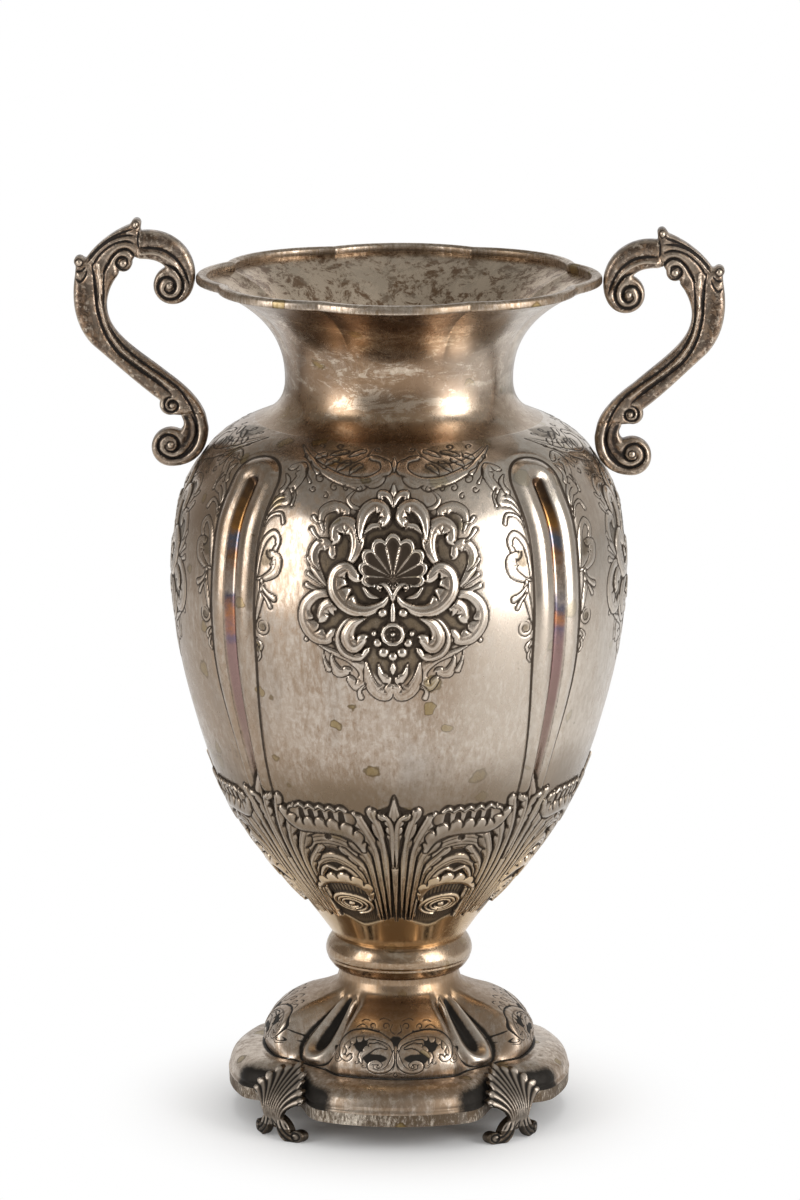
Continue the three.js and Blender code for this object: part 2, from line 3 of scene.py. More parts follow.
import bpy
import numpy as np
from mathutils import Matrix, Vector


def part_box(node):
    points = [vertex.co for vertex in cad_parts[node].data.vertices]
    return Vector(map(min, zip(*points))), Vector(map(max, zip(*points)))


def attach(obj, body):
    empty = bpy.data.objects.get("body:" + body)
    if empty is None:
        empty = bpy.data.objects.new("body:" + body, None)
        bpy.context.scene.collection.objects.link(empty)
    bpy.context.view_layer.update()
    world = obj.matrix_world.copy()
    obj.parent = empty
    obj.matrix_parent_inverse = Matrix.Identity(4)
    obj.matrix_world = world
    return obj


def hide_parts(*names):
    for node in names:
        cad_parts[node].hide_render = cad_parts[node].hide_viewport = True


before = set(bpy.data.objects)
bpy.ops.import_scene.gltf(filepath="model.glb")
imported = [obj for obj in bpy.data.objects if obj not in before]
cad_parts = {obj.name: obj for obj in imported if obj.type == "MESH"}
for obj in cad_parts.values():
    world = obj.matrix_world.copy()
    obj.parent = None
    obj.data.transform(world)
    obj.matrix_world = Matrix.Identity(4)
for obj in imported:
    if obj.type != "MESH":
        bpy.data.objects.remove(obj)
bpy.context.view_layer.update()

# The script works in millimetres, as the CAD frame's own drawing does, and hands Blender metres.
mm = 0.001
coarse = 1
print("frame loaded,", len(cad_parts), "nodes")


def boxOf(node):
    low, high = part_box(node)
    return np.array(low) / mm, np.array(high) / mm


# The camera stands where the photograph was taken. The vase is turned a little away from it.
photoView = {
    "standOff": 2583,
    "height": 801,
    "tilt": 12.33,  # degrees down from level
    "turn": 1.5,
    "focalPixels": 5864,
    "longSidePixels": 1200,
    "leftShiftPixels": 1.0,
}


def makeCamera(view):
    data = bpy.data.cameras.new("photoCamera")
    data.sensor_width = 36
    data.lens = view["focalPixels"] / view["longSidePixels"] * data.sensor_width
    data.shift_x = view["leftShiftPixels"] / view["longSidePixels"]
    data.clip_end = 100
    camera = bpy.data.objects.new("photoCamera", data)
    turn = math.radians(view["turn"])
    away = view["standOff"] * mm
    camera.location = (away * math.sin(turn), -away * math.cos(turn), view["height"] * mm)
    camera.rotation_euler = (math.radians(90 - view["tilt"]), 0, turn)
    bpy.context.scene.collection.objects.link(camera)
    bpy.context.scene.camera = camera


makeCamera(photoView)
bpy.context.scene.view_settings.view_transform = "Standard"


# Curves and small sums

def splineThrough(points, count):
    # a smooth line through the points, evenly many steps between each two
    knots = np.array(points, float)
    last = len(knots) - 1
    place = np.linspace(0, last, count)
    index = np.minimum(place.astype(int), last - 1)
    w = (place - index)[:, None]
    here, after = knots[index], knots[index + 1]
    pullHere = (after - knots[np.maximum(index - 1, 0)]) / 2
    pullAfter = (knots[np.minimum(index + 2, last)] - here) / 2
    return ((2 * here - 2 * after + pullHere + pullAfter) * w ** 3
            + (3 * after - 3 * here - 2 * pullHere - pullAfter) * w ** 2 + pullHere * w + here)


def bezier(a, b, c, d, count):
    a, b, c, d = (np.array(p, float) for p in (a, b, c, d))
    w = np.linspace(0, 1, count + 1)[:, None]
    return a * (1 - w) ** 3 + 3 * b * w * (1 - w) ** 2 + 3 * c * w ** 2 * (1 - w) + d * w ** 3


def smoothStep(value, low, high):
    share = np.clip((value - low) / (high - low), 0, 1)
    return share * share * (3 - 2 * share)


def mix(a, b, share):
    return a + (b - a) * share


def bump(share, middle, reach):
    off = np.abs(share - middle) / reach
    return np.where(off < 1, (1 + np.cos(np.pi * np.minimum(off, 1))) / 2, 0)


def ropeLength(line):
    return np.concatenate([[0], np.cumsum(np.hypot(*np.diff(line, axis=0).T))])


def blurred(values, sigma):
    # a soft average over the sheet, sigma in cells
    reach = max(int(sigma * 2.5), 1)
    weights = np.exp(-0.5 * (np.arange(-reach, reach + 1) / sigma) ** 2)
    weights /= weights.sum()
    for axis in (0, 1):
        padded = np.pad(values, [(reach, reach) if a == axis else (0, 0) for a in (0, 1)], "edge")
        length = values.shape[axis]
        values = sum(w * np.take(padded, range(i, i + length), axis) for i, w in enumerate(weights))
    return values


# Chasing. A sheet is a flat drawing of a surface that holds its relief in millimetres,
# the dark lines cut into it and the ground that is matted with a punch.

def newSheet(left, right, low, high, pitch):
    shape = (int((high - low) / pitch) + 1, int((right - left) / pitch) + 1)
    sheet = {"left": left, "low": low, "pitch": pitch}
    for layer in ("rise", "ink", "ground"):
        sheet[layer] = np.zeros(shape)
    return sheet


def partOfSheet(sheet, line, margin):
    corner = np.array([sheet["left"], sheet["low"]])
    tall, wide = sheet["rise"].shape
    first = np.floor((line.min(0) - margin - corner) / sheet["pitch"]).astype(int)
    last = np.ceil((line.max(0) + margin - corner) / sheet["pitch"]).astype(int) + 1
    columns = slice(*np.clip([first[0], last[0]], 0, wide))
    rows = slice(*np.clip([first[1], last[1]], 0, tall))
    x = corner[0] + sheet["pitch"] * np.arange(columns.start, columns.stop)
    y = corner[1] + sheet["pitch"] * np.arange(rows.start, rows.stop)
    return (rows, columns), *np.meshgrid(x, y)


def nearLine(x, y, line):
    # for each point: distance to the line, share along it, and signed distance to its left
    start, step = line[:-1], np.diff(line, axis=0)
    length = np.maximum(np.hypot(step[:, 0], step[:, 1]), 1e-9)
    run = ropeLength(line)
    px, py = x[..., None] - start[:, 0], y[..., None] - start[:, 1]
    share = np.clip((px * step[:, 0] + py * step[:, 1]) / length ** 2, 0, 1)
    away = np.hypot(px - share * step[:, 0], py - share * step[:, 1])
    best = away.argmin(-1)
    pick = np.indices(best.shape)
    away = away[(*pick, best)]
    along = (run[best] + share[(*pick, best)] * length[best]) / run[-1]
    turned = step[best, 0] * py[(*pick, best)] - step[best, 1] * px[(*pick, best)]
    return away, along, np.where(turned > 0, away, -away)


def darken(sheet, at, amount):
    sheet["ink"][at] = np.maximum(sheet["ink"][at], amount)


def lay(sheet, at, edge, height, outline=0.3, ink=0.75):
    # lays a raised shape over what is there and cuts a line round it; edge is the distance outside
    cover = np.clip(0.5 - edge / sheet["pitch"], 0, 1)
    for layer, value in (("rise", height), ("ink", 0), ("ground", 0)):
        sheet[layer][at] = sheet[layer][at] * (1 - cover) + value * cover
    line = np.exp(-(edge / outline) ** 2)
    darken(sheet, at, ink * line)
    sheet["rise"][at] -= outline * line


def groove(sheet, points, width=0.28, depth=0.22, ink=0.8, steps=28):
    line = splineThrough(points, steps) if len(points) > 2 else np.array(points, float)
    at, x, y = partOfSheet(sheet, line, width * 3)
    if not x.size:
        return
    away, along, _ = nearLine(x, y, line)
    ends = np.sqrt(np.clip(np.minimum(along, 1 - along) * 7 + 0.12, 0, 1))
    cut = np.exp(-(away / (width * ends)) ** 2) * ends
    sheet["rise"][at] -= depth * cut
    darken(sheet, at, ink * cut)


def spiralPoints(centre, radius, fromDegrees, turns, endShare=0.15, count=None):
    # runs inwards; positive turns go anticlockwise
    count = count or int(abs(turns) * 20) + 6
    share = np.linspace(0, 1, count)
    angle = np.radians(fromDegrees + 360 * turns * share)
    reach = radius * mix(1, endShare, share)
    return np.stack([centre[0] + reach * np.cos(angle), centre[1] + reach * np.sin(angle)], 1)


def bead(sheet, centre, radius, rise, ink=0.75):
    at, x, y = partOfSheet(sheet, np.array([centre], float), radius + 1)
    if not x.size:
        return
    away = np.hypot(x - centre[0], y - centre[1])
    lay(sheet, at, away - radius, rise * np.clip(1 - (away / radius) ** 2, 0, 1) ** 0.6, ink=ink)


def leaf(sheet, points, widths, rise, lobes=0, side=1, veins=2, lobeSize=0.75, outline=0.26, ink=0.7,
         lobeGap=0.14):
    # a leaf or scroll from root to head. Its lobes stand on one side of the head (side 1 is left) with a
    # crease from each notch into the leaf, and ribs run along it.
    line = splineThrough(points, 12 * len(points))
    at, x, y = partOfSheet(sheet, line, max(widths) * (1 + lobeSize) + 1.5)
    if not x.size:
        return
    away, along, left = nearLine(x, y, line)
    half = np.interp(along, np.linspace(0, 1, len(widths)), widths)
    across = np.clip(left * side / half, -1, 2)
    fromHead = (1 - along) / lobeGap
    lobed = smoothStep(lobes + 0.5 - fromHead, 0, 1) * (lobes > 0)
    step = np.abs(np.mod(fromHead + 0.5 - 0.25 * np.clip(1 - across, 0, 1), 1) * 2 - 1)
    spread = half * (1 + lobeSize * lobed * (1 - step ** 2.4) * smoothStep(across, 0, 0.6))
    edge = away - spread
    height = rise * np.clip(1 - (away / spread) ** 2, 0, 1) ** 0.5
    crease = np.exp(-((1 - step) / 0.2) ** 2) * smoothStep(across, 0.25, 0.8) * lobed
    ribs = 0.5 - 0.5 * np.cos(across * (veins + 0.5) * np.pi + 0.8)
    cut = np.maximum(0.8 * crease, 0.5 * ribs ** 4 * (veins > 0) * smoothStep(half, 0.7, 1.5) * (across < 1))
    lay(sheet, at, edge, height - (0.12 + 0.2 * abs(rise)) * cut, outline, ink)
    darken(sheet, at, ink * cut * np.clip(-edge / 0.4, 0, 1))


def insideOf(sheet, outline):
    # 1 inside a closed outline, with a soft edge
    line = splineThrough(outline, 12 * len(outline))
    tall, wide = sheet["rise"].shape
    x, y = np.meshgrid(sheet["left"] + sheet["pitch"] * np.arange(wide),
                       sheet["low"] + sheet["pitch"] * np.arange(tall))
    inside = np.zeros(x.shape, bool)
    for start, end in zip(line, np.roll(line, -1, 0)):
        crosses = (start[1] > y) != (end[1] > y)
        rise = end[1] - start[1] or 1e-9
        inside ^= crosses & (x < start[0] + (end[0] - start[0]) * (y - start[1]) / rise)
    return blurred(inside.astype(float), 0.5 / sheet["pitch"])


def mattedGround(sheet, outline, sink):
    # lowers and mats what lies inside the outline, which is closed across the mirror line
    soft = insideOf(sheet, outline)
    sheet["ground"] = np.maximum(sheet["ground"], soft)
    sheet["rise"] -= sink * soft


def patinaOf(sheet, reach=1.1, strength=1.2):
    # tarnish settles where the relief lies below its surroundings, and hands polish what stands above
    hollow = blurred(sheet["rise"], reach / sheet["pitch"]) - sheet["rise"]
    sheet["dark"] = np.clip(hollow * strength + sheet["ink"] + 0.25 * sheet["ground"], 0, 1)
    sheet["worn"] = np.clip(-hollow * 2.2 - sheet["ink"], 0, 1)


def readSheet(sheet, layer, x, y):
    values = sheet[layer]
    column = (x - sheet["left"]) / sheet["pitch"]
    row = (y - sheet["low"]) / sheet["pitch"]
    inside = (column >= 0) & (row >= 0) & (column < values.shape[1] - 1) & (row < values.shape[0] - 1)
    column = np.clip(column, 0, values.shape[1] - 1.001)
    row = np.clip(row, 0, values.shape[0] - 1.001)
    c, r = column.astype(int), row.astype(int)
    u, v = column - c, row - r
    value = ((values[r, c] * (1 - u) + values[r, c + 1] * u) * (1 - v)
             + (values[r + 1, c] * (1 - u) + values[r + 1, c + 1] * u) * v)
    return np.where(inside, value, 0)

# Meshes

def makePiece(name, points, faces, material, replaced=(), masks=None, layout=None):
    # faces is a list of arrays of vertex numbers, one array for triangles and one for quads, or more
    mesh = bpy.data.meshes.new(name)
    faces = [np.asarray(group, np.int32) for group in faces if len(group)]
    corners = np.concatenate([np.full(len(group), group.shape[1]) for group in faces])
    order = np.concatenate([group.ravel() for group in faces])
    starts = np.concatenate([[0], np.cumsum(corners)[:-1]])
    points = np.asarray(points, float).reshape(-1, 3)
    mesh.vertices.add(len(points))
    mesh.vertices.foreach_set("co", (points * mm).astype(np.float32).ravel())
    mesh.loops.add(len(order))
    mesh.loops.foreach_set("vertex_index", order)
    mesh.polygons.add(len(corners))
    mesh.polygons.foreach_set("loop_start", starts.astype(np.int32))
    mesh.polygons.foreach_set("use_smooth", np.ones(len(corners), bool))
    mesh.update(calc_edges=True)
    mesh.set_sharp_from_angle(angle=math.radians(62))
    for mask, values in (masks or {}).items():
        values = np.asarray(values, np.float32).ravel()
        mesh.attributes.new(mask, "FLOAT", "POINT").data.foreach_set("value", values)
    if layout is not None:
        spots = np.asarray(layout, np.float32).reshape(-1, 2)[order]
        mesh.uv_layers.new(name="OFBake").data.foreach_set("uv", spots.ravel())
    piece = bpy.data.objects.new(name, mesh)
    bpy.context.scene.collection.objects.link(piece)
    mesh.materials.append(material)
    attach(piece, "root")
    if replaced:
        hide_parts(*replaced)
    return piece


def numbersOf(grid, first=0):
    # the vertex numbers of a grid of points
    rows, columns = grid.shape[:2]
    return first + np.arange(rows * columns).reshape(rows, columns)


def bakeSpots(grid, low=0.01, high=0.99):
    # the grid's places on the square that finishes are baked to
    across, up = np.linspace(0.01, 0.99, grid.shape[1]), np.linspace(low, high, grid.shape[0])
    return np.stack(np.meshgrid(across, up), -1).reshape(-1, 2)


def gridFaces(numbers, closed=False):
    # quads over a grid of vertex numbers, facing out where rows run up and columns run round
    after = np.roll(numbers, -1, 1) if closed else numbers[:, 1:]
    here = numbers if closed else numbers[:, :-1]
    return np.stack([here[:-1], after[:-1], after[1:], here[1:]], -1).reshape(-1, 4)


def seamFaces(fine, rough, closed=False):
    # triangles from a fine run of vertices to a rough one that has every few of them
    if closed:
        fine, rough = np.append(fine, fine[0]), np.append(rough, rough[0])
    ratio = (len(fine) - 1) // (len(rough) - 1)
    step = np.arange(len(fine) - 1)
    joined = np.arange(len(rough) - 1)
    near = np.stack([fine[:-1], fine[1:], rough[step // ratio]], -1)
    far = np.stack([fine[(joined + 1) * ratio], rough[1:], rough[:-1]], -1)
    return np.concatenate([near, far])


def sheetPiece(name, outside, inside, material, replaced, masks=None, closed=True):
    # a sheet of metal: an outer grid of points, a rougher inner one, and the edges between them
    outer = numbersOf(outside)
    inner = numbersOf(inside, outer.size)
    faces = [gridFaces(outer, closed), gridFaces(inner, closed)[:, ::-1],
             seamFaces(outer[0], inner[0], closed)[:, ::-1], seamFaces(outer[-1], inner[-1], closed)]
    if not closed:
        faces += [seamFaces(outer[:, 0], inner[:, 0]), seamFaces(outer[:, -1], inner[:, -1])[:, ::-1]]
    points = np.concatenate([outside.reshape(-1, 3), inside.reshape(-1, 3)])
    padded = {"inside": np.repeat([0, 1], [outer.size, inner.size])}
    for mask, values in (masks or {}).items():
        padded[mask] = np.concatenate([values.ravel(), np.zeros(inner.size)])
    spots = np.concatenate([bakeSpots(outside, 0.3), bakeSpots(inside, high=0.27)])
    return makePiece(name, points, faces, material, replaced, padded, spots)


def turned(radius, height, turn):
    radius, height, turn = np.broadcast_arrays(radius, height, turn)
    return np.stack([radius * np.cos(turn), radius * np.sin(turn), height], -1)


def facing(line):
    # the direction out of a sheet whose profile runs up
    way = np.gradient(line, axis=0)
    way /= np.hypot(way[:, 0], way[:, 1])[:, None]
    return np.stack([way[:, 1], -way[:, 0]], 1)


def evenly(line, step):
    # the same line with points a step apart
    run = ropeLength(line)
    stops = np.linspace(0, run[-1], max(int(round(run[-1] / step)), 1) + 1)
    return np.stack([np.interp(stops, run, line[:, 0]), np.interp(stops, run, line[:, 1])], 1)


def cells(length, step, ratio):
    # how many cells of a step fit, as a whole number of ratios
    return max(int(round(length / step / ratio)), 1) * ratio


def fromDiagonal(turn):
    return np.mod(turn, np.pi / 2) - np.pi / 4


def flutedSection(share, ridge, channel, cut, hollow=0.42):
    # a groove, a round ridge and a hollow channel, by the distance from the middle in half widths
    raised = ridge * bump(share, 0.44 + 0.43 * hollow, 0.78 - hollow)
    return raised - channel * bump(share, 0, hollow) - cut * bump(share, 0.98, 0.2)

# Node helpers

def place(tree, kind, inputs=None, **settings):
    node = tree.nodes.new("ShaderNode" + kind)
    for setting, value in settings.items():
        setattr(node, setting, value)
    for socket, value in (inputs or {}).items():
        if isinstance(value, bpy.types.NodeSocket):
            tree.links.new(value, node.inputs[socket])
        else:
            node.inputs[socket].default_value = value
    return node


def opaque(value):
    # a color with its alpha; any other value stays as it is
    return (*value, 1) if isinstance(value, tuple) else value


def blend(tree, share, first, second):
    inputs = {0: share, 6: opaque(first), 7: opaque(second)}
    return place(tree, "Mix", inputs, data_type="RGBA").outputs[2]


def mathOf(tree, operation, first, second=0.0):
    return place(tree, "Math", {0: first, 1: second}, operation=operation).outputs[0]


def plus(tree, first, second):
    return mathOf(tree, "ADD", first, second)


def minus(tree, first, second):
    return mathOf(tree, "SUBTRACT", first, second)


def times(tree, first, second):
    return mathOf(tree, "MULTIPLY", first, second)


def tint(tree, color, tone, mask, strength):
    # lays a tone over the color where the mask is
    return blend(tree, times(tree, mask, strength), color, tone)


def rampOf(tree, value, low, high, lowTo=0.0, highTo=1.0):
    ends = {"From Min": low, "From Max": high, "To Min": lowTo, "To Max": highTo}
    return place(tree, "MapRange", {"Value": value, **ends}, interpolation_type="SMOOTHSTEP").outputs[0]


def tonesOf(tree, value, stops):
    # a color for each value, blended between the stops
    node = place(tree, "ValToRGB", {0: value})
    ramp = node.color_ramp
    ramp.elements[-1].position = stops[-1][0]
    for position, tone in stops[1:-1]:
        ramp.elements.new(position).color = (*tone, 1)
    for end in (0, -1):
        ramp.elements[end].color = (*stops[end][1], 1)
    return node.outputs[0]


def noiseOf(tree, spot, scale, detail=4.0, rough=0.55, warp=0.0):
    return place(tree, "TexNoise", {"Vector": spot, "Scale": scale, "Detail": detail, "Roughness": rough,
                                    "Distortion": warp}).outputs[0]


def cellsOf(tree, spot, scale):
    return place(tree, "TexVoronoi", {"Vector": spot, "Scale": scale}).outputs


def objectSpot(tree):
    return place(tree, "TexCoord").outputs["Object"]


def scaled(tree, spot, size):
    return place(tree, "VectorMath", {0: spot, 3: size}, operation="SCALE").outputs[0]


def stretched(tree, spot, scale, turn=(0, 0, 0)):
    return place(tree, "Mapping", {"Vector": spot, "Rotation": turn, "Scale": scale}).outputs[0]


def axisOf(tree, spot, axis):
    return place(tree, "SeparateXYZ", {0: spot}).outputs[axis]


def wandering(tree, axis, scale, detail, rough, reach):
    # the place along an axis, put out by noise so that what follows it has a ragged edge
    spot = objectSpot(tree)
    wander = times(tree, noiseOf(tree, spot, scale, detail, rough), reach)
    return plus(tree, axisOf(tree, spot, axis), wander)


def newGroup(name, inputs, outputs):
    tree = bpy.data.node_groups.new(name, "ShaderNodeTree")
    for socket, value in inputs.items():
        kind = "NodeSocketColor" if isinstance(value, tuple) else "NodeSocketFloat"
        made = tree.interface.new_socket(socket, in_out="INPUT", socket_type=kind)
        made.default_value = opaque(value)
    for socket, kind in outputs.items():
        tree.interface.new_socket(socket, in_out="OUTPUT", socket_type="NodeSocket" + kind)
    return tree, tree.nodes.new("NodeGroupInput").outputs, tree.nodes.new("NodeGroupOutput").inputs


# Finishes that several of the pieces share

def smokyTarnishGroup():
    # clouds of warm tarnish, bluish smears and small brown freckles
    tree, given, result = newGroup(
        "smokyTarnish",
        {"Clean": (0.6, 0.54, 0.46), "Warm": (0.33, 0.23, 0.15), "Cool": (0.3, 0.3, 0.3), "Amount": 0.5,
         "Streaks": 0.3, "Freckles": 0.4, "Size": 1.0},
        {"Color": "Color", "Tarnish": "Float"})
    size = scaled(tree, objectSpot(tree), given["Size"])
    cloud = noiseOf(tree, size, 14.0, 5, 0.6, 0.4)
    mottle = noiseOf(tree, stretched(tree, size, (430, 430, 150)), 1.0, 7, 0.75, 0.3)
    mixed = plus(tree, times(tree, cloud, 0.45), times(tree, mottle, 0.55))
    edge = minus(tree, 0.86, times(tree, given["Amount"], 0.72))
    warm = rampOf(tree, mixed, edge, plus(tree, edge, 0.15))
    color = blend(tree, warm, given["Clean"], given["Warm"])
    # a fine cloudy bloom over everything
    bloom = rampOf(tree, noiseOf(tree, size, 330.0, 6, 0.8, 0.3), 0.38, 0.62)
    color = tint(tree, color, given["Warm"], bloom, 0.5)
    # thin drips that have dried on the way down
    drip = rampOf(tree, noiseOf(tree, stretched(tree, size, (520, 520, 26)), 1.0, 3, 0.6, 0.2), 0.5, 0.7)
    color = tint(tree, color, given["Warm"], drip, 0.3)
    # long soft smears that run down the metal
    smear = rampOf(tree, noiseOf(tree, stretched(tree, size, (40, 40, 7)), 1.0, 4, 0.6, 0.3), 0.48, 0.72)
    color = tint(tree, color, given["Cool"], smear, given["Streaks"])
    # brown dots that crowd together in places
    dot = rampOf(tree, cellsOf(tree, size, 230.0)["Distance"], 0.34, 0.12)
    crowd = rampOf(tree, noiseOf(tree, size, 22.0, 4, 0.7), 0.5, 0.72)
    freckle = times(tree, times(tree, dot, crowd), given["Freckles"])
    color = blend(tree, freckle, color, (0.09, 0.055, 0.03))
    tree.links.new(color, result["Color"])
    tree.links.new(mathOf(tree, "MAXIMUM", warm, freckle), result["Tarnish"])
    return tree


def waterSpotsGroup():
    # dabs with a dark edge where drops have dried
    tree, given, result = newGroup("waterSpots", {"Share": 0.3}, {"Dab": "Float", "Ring": "Float"})
    spot = objectSpot(tree)
    ragged = place(tree, "TexNoise", {"Vector": spot, "Scale": 160.0, "Detail": 3.0}).outputs[1]
    bent = place(tree, "VectorMath", {0: spot, 1: scaled(tree, ragged, 0.006)}, operation="ADD").outputs[0]
    cell = cellsOf(tree, bent, 62.0)
    chance = place(tree, "SeparateColor", {0: cell["Color"]}).outputs
    chosen = mathOf(tree, "LESS_THAN", chance[0], given["Share"])
    reach = plus(tree, 0.12, times(tree, chance[1], 0.16))
    share = mathOf(tree, "DIVIDE", cell["Distance"], reach)
    tree.links.new(times(tree, rampOf(tree, share, 1.05, 0.8), chosen), result["Dab"])
    edge = mathOf(tree, "ABSOLUTE", minus(tree, share, 0.95))
    tree.links.new(times(tree, rampOf(tree, edge, 0.16, 0.02), chosen), result["Ring"])
    return tree


def handledSurfaceGroup():
    # the small dents, wipes and scratches of old sheet
    tree, given, result = newGroup("handledSurface", {"Dents": 0.5, "Scratches": 0.5, "Pits": 0.3},
                                   {"Height": "Float", "Dullness": "Float"})
    spot = objectSpot(tree)
    tilted = stretched(tree, spot, (1800, 60, 260), (0.5, 0.3, 0.9))
    scratch = rampOf(tree, noiseOf(tree, tilted, 1.0, 2, 0.5), 0.6, 0.72)
    pits = rampOf(tree, cellsOf(tree, spot, 650.0)["Distance"], 0.3, 0.05)
    crowd = rampOf(tree, noiseOf(tree, spot, 60.0, 3, 0.6), 0.5, 0.65)
    pitted = times(tree, times(tree, pits, crowd), given["Pits"])
    height = times(tree, noiseOf(tree, spot, 24.0, 2, 0.5), given["Dents"])
    height = minus(tree, height, times(tree, scratch, times(tree, given["Scratches"], 0.02)))
    height = minus(tree, height, times(tree, pitted, 0.06))
    height = plus(tree, height, times(tree, noiseOf(tree, spot, 420.0, 3, 0.6), 0.012))
    tree.links.new(height, result["Height"])
    wiped = times(tree, noiseOf(tree, spot, 34.0, 5, 0.65), 0.7)
    tree.links.new(plus(tree, wiped, times(tree, pitted, 0.5)), result["Dullness"])
    return tree


def darkRecessGroup():
    # dark tarnish left in the hollows of the work, with the painted shade that the dark mask carries in
    # creases and beside the flutes' ridges, punched ground, and bright worn crests
    tree, given, result = newGroup(
        "darkRecess", {"Color": (0.5, 0.45, 0.4), "Dark": 0.0, "Deep": (0.03, 0.018, 0.01), "Mat": 0.0,
                       "Worn": 0.0, "Bright": (0.7, 0.63, 0.55)},
        {"Color": "Color", "Shade": "Float"})
    spot = objectSpot(tree)
    grain = minus(tree, noiseOf(tree, spot, 700.0, 3, 0.7), 0.5)
    broken = plus(tree, given["Dark"], times(tree, grain, 0.35))
    shade = times(tree, rampOf(tree, broken, 0.1, 0.6), rampOf(tree, given["Dark"], 0.02, 0.12))
    punched = rampOf(tree, cellsOf(tree, spot, 1300.0)["Distance"], 0.2, 0.5)
    ochre = tint(tree, (0.11, 0.08, 0.045), (0.26, 0.2, 0.13), punched, 0.5)
    color = tint(tree, given["Color"], given["Bright"], given["Worn"], 0.8)
    color = tint(tree, color, ochre, given["Mat"], 0.75)
    tree.links.new(blend(tree, shade, color, given["Deep"]), result["Color"])
    tree.links.new(shade, result["Shade"])
    return tree


smokyTarnish = smokyTarnishGroup()
waterSpots = waterSpotsGroup()
handledSurface = handledSurfaceGroup()
darkRecess = darkRecessGroup()


def useGroup(tree, group, inputs):
    inputs = {socket: opaque(value) for socket, value in inputs.items()}
    return place(tree, "Group", inputs, node_tree=group).outputs


def maskOf(tree, name):
    return place(tree, "Attribute", attribute_name=name, attribute_type="GEOMETRY").outputs["Fac"]


def silverMaterial(name, look):
    # old silver: tarnish, dried spots, what this piece alone shows, then dark recesses
    material = bpy.data.materials.new(name)
    material.use_nodes = True
    tree = material.node_tree
    shader = tree.nodes["Principled BSDF"]
    aged = useGroup(tree, smokyTarnish, {
        "Clean": look["clean"], "Warm": look["warm"], "Cool": look["cool"], "Amount": look["tarnish"],
        "Streaks": look["streaks"], "Freckles": look["freckles"], "Size": look["size"]})
    drops = useGroup(tree, waterSpots, {"Share": look["spots"]})
    color = tint(tree, aged["Color"], (0.25, 0.18, 0.07), drops["Dab"], 0.75)
    color = tint(tree, color, (0.1, 0.065, 0.025), drops["Ring"], 0.75)
    for step in look["extra"]:
        color = step(tree, color)
    used = useGroup(tree, handledSurface, {
        wear: look[wear.lower()] for wear in ("Dents", "Scratches", "Pits")})
    rough = plus(tree, look["rough"], times(tree, used["Dullness"], look["dullness"]))
    rough = plus(tree, rough, times(tree, aged["Tarnish"], 0.14))
    shader.inputs["Metallic"].default_value = 1.0
    if look["masks"]:  # the dark in the recesses is dull and less of a metal
        masks = {socket: maskOf(tree, mask) for socket, mask in look["masks"].items()}
        recess = useGroup(tree, darkRecess, {
            "Color": color, "Deep": look["deep"], "Bright": look["bright"], **masks})
        color = recess["Color"]
        rough = plus(tree, rough, times(tree, recess["Shade"], 0.3))
        metal = minus(tree, 1.0, times(tree, recess["Shade"], 0.35))
        tree.links.new(metal, shader.inputs["Metallic"])
    tree.links.new(color, shader.inputs["Base Color"])
    tree.links.new(mathOf(tree, "MINIMUM", rough, 0.85), shader.inputs["Roughness"])
    bumps = place(tree, "Bump", {"Height": used["Height"], "Strength": 1.0, "Distance": look["bump"]})
    tree.links.new(bumps.outputs[0], shader.inputs["Normal"])
    return material


def rainbowChannel(tree, color):
    # the flutes' channels have turned dark blue, violet and orange in bands
    level = rampOf(tree, wandering(tree, 2, 70.0, 4, 0.65, 0.03), 0.145, 0.324)
    bands = ((0.0, (0.34, 0.27, 0.22)), (0.36, (0.24, 0.16, 0.14)), (0.6, (0.27, 0.17, 0.16)),
             (0.65, (0.17, 0.13, 0.17)), (0.7, (0.4, 0.18, 0.09)), (0.74, (0.14, 0.13, 0.17)),
             (0.78, (0.5, 0.42, 0.36)), (0.85, (0.48, 0.38, 0.31)), (0.89, (0.34, 0.18, 0.09)),
             (0.92, (0.13, 0.16, 0.22)), (0.95, (0.38, 0.19, 0.06)), (1.0, (0.02, 0.018, 0.02)))
    return blend(tree, maskOf(tree, "channel"), color, tonesOf(tree, level, bands))


def stainAndPaintedLightFrom(start, full, strength, tone):
    # a tone with a wandering edge, which begins at one height and is full at another; mostly a stain, but
    # the gold one low on the belly is painted light
    def toneBand(tree, color):
        amount = rampOf(tree, wandering(tree, 2, 45.0, 4, 0.6, 0.02), start, full)
        return tint(tree, color, tone, amount, strength)
    return toneBand


def paintedSideLight(tree, color):
    # painted light: the right side is painted lighter and the left darker, as the light falls from the right
    side = wandering(tree, 0, 22.0, 5, 0.65, 0.06)
    color = blend(tree, rampOf(tree, side, 0.035, 0.08, 0.0, 0.42), color, (0.68, 0.63, 0.56))
    return blend(tree, rampOf(tree, side, 0.0, -0.04, 0.0, 0.3), color, (0.3, 0.225, 0.16))


def dullInside(tree, color):
    # the inside is grey and freckled with brown
    spot = objectSpot(tree)
    speck = rampOf(tree, noiseOf(tree, spot, 115.0, 7, 0.85, 0.4), 0.49, 0.56)
    inside = blend(tree, speck, (0.56, 0.45, 0.34), (0.2, 0.125, 0.075))
    film = rampOf(tree, noiseOf(tree, spot, 34.0, 6, 0.75, 0.8), 0.5, 0.58)
    inside = tint(tree, inside, (0.36, 0.3, 0.23), film, 0.4)
    return blend(tree, maskOf(tree, "inside"), color, inside)


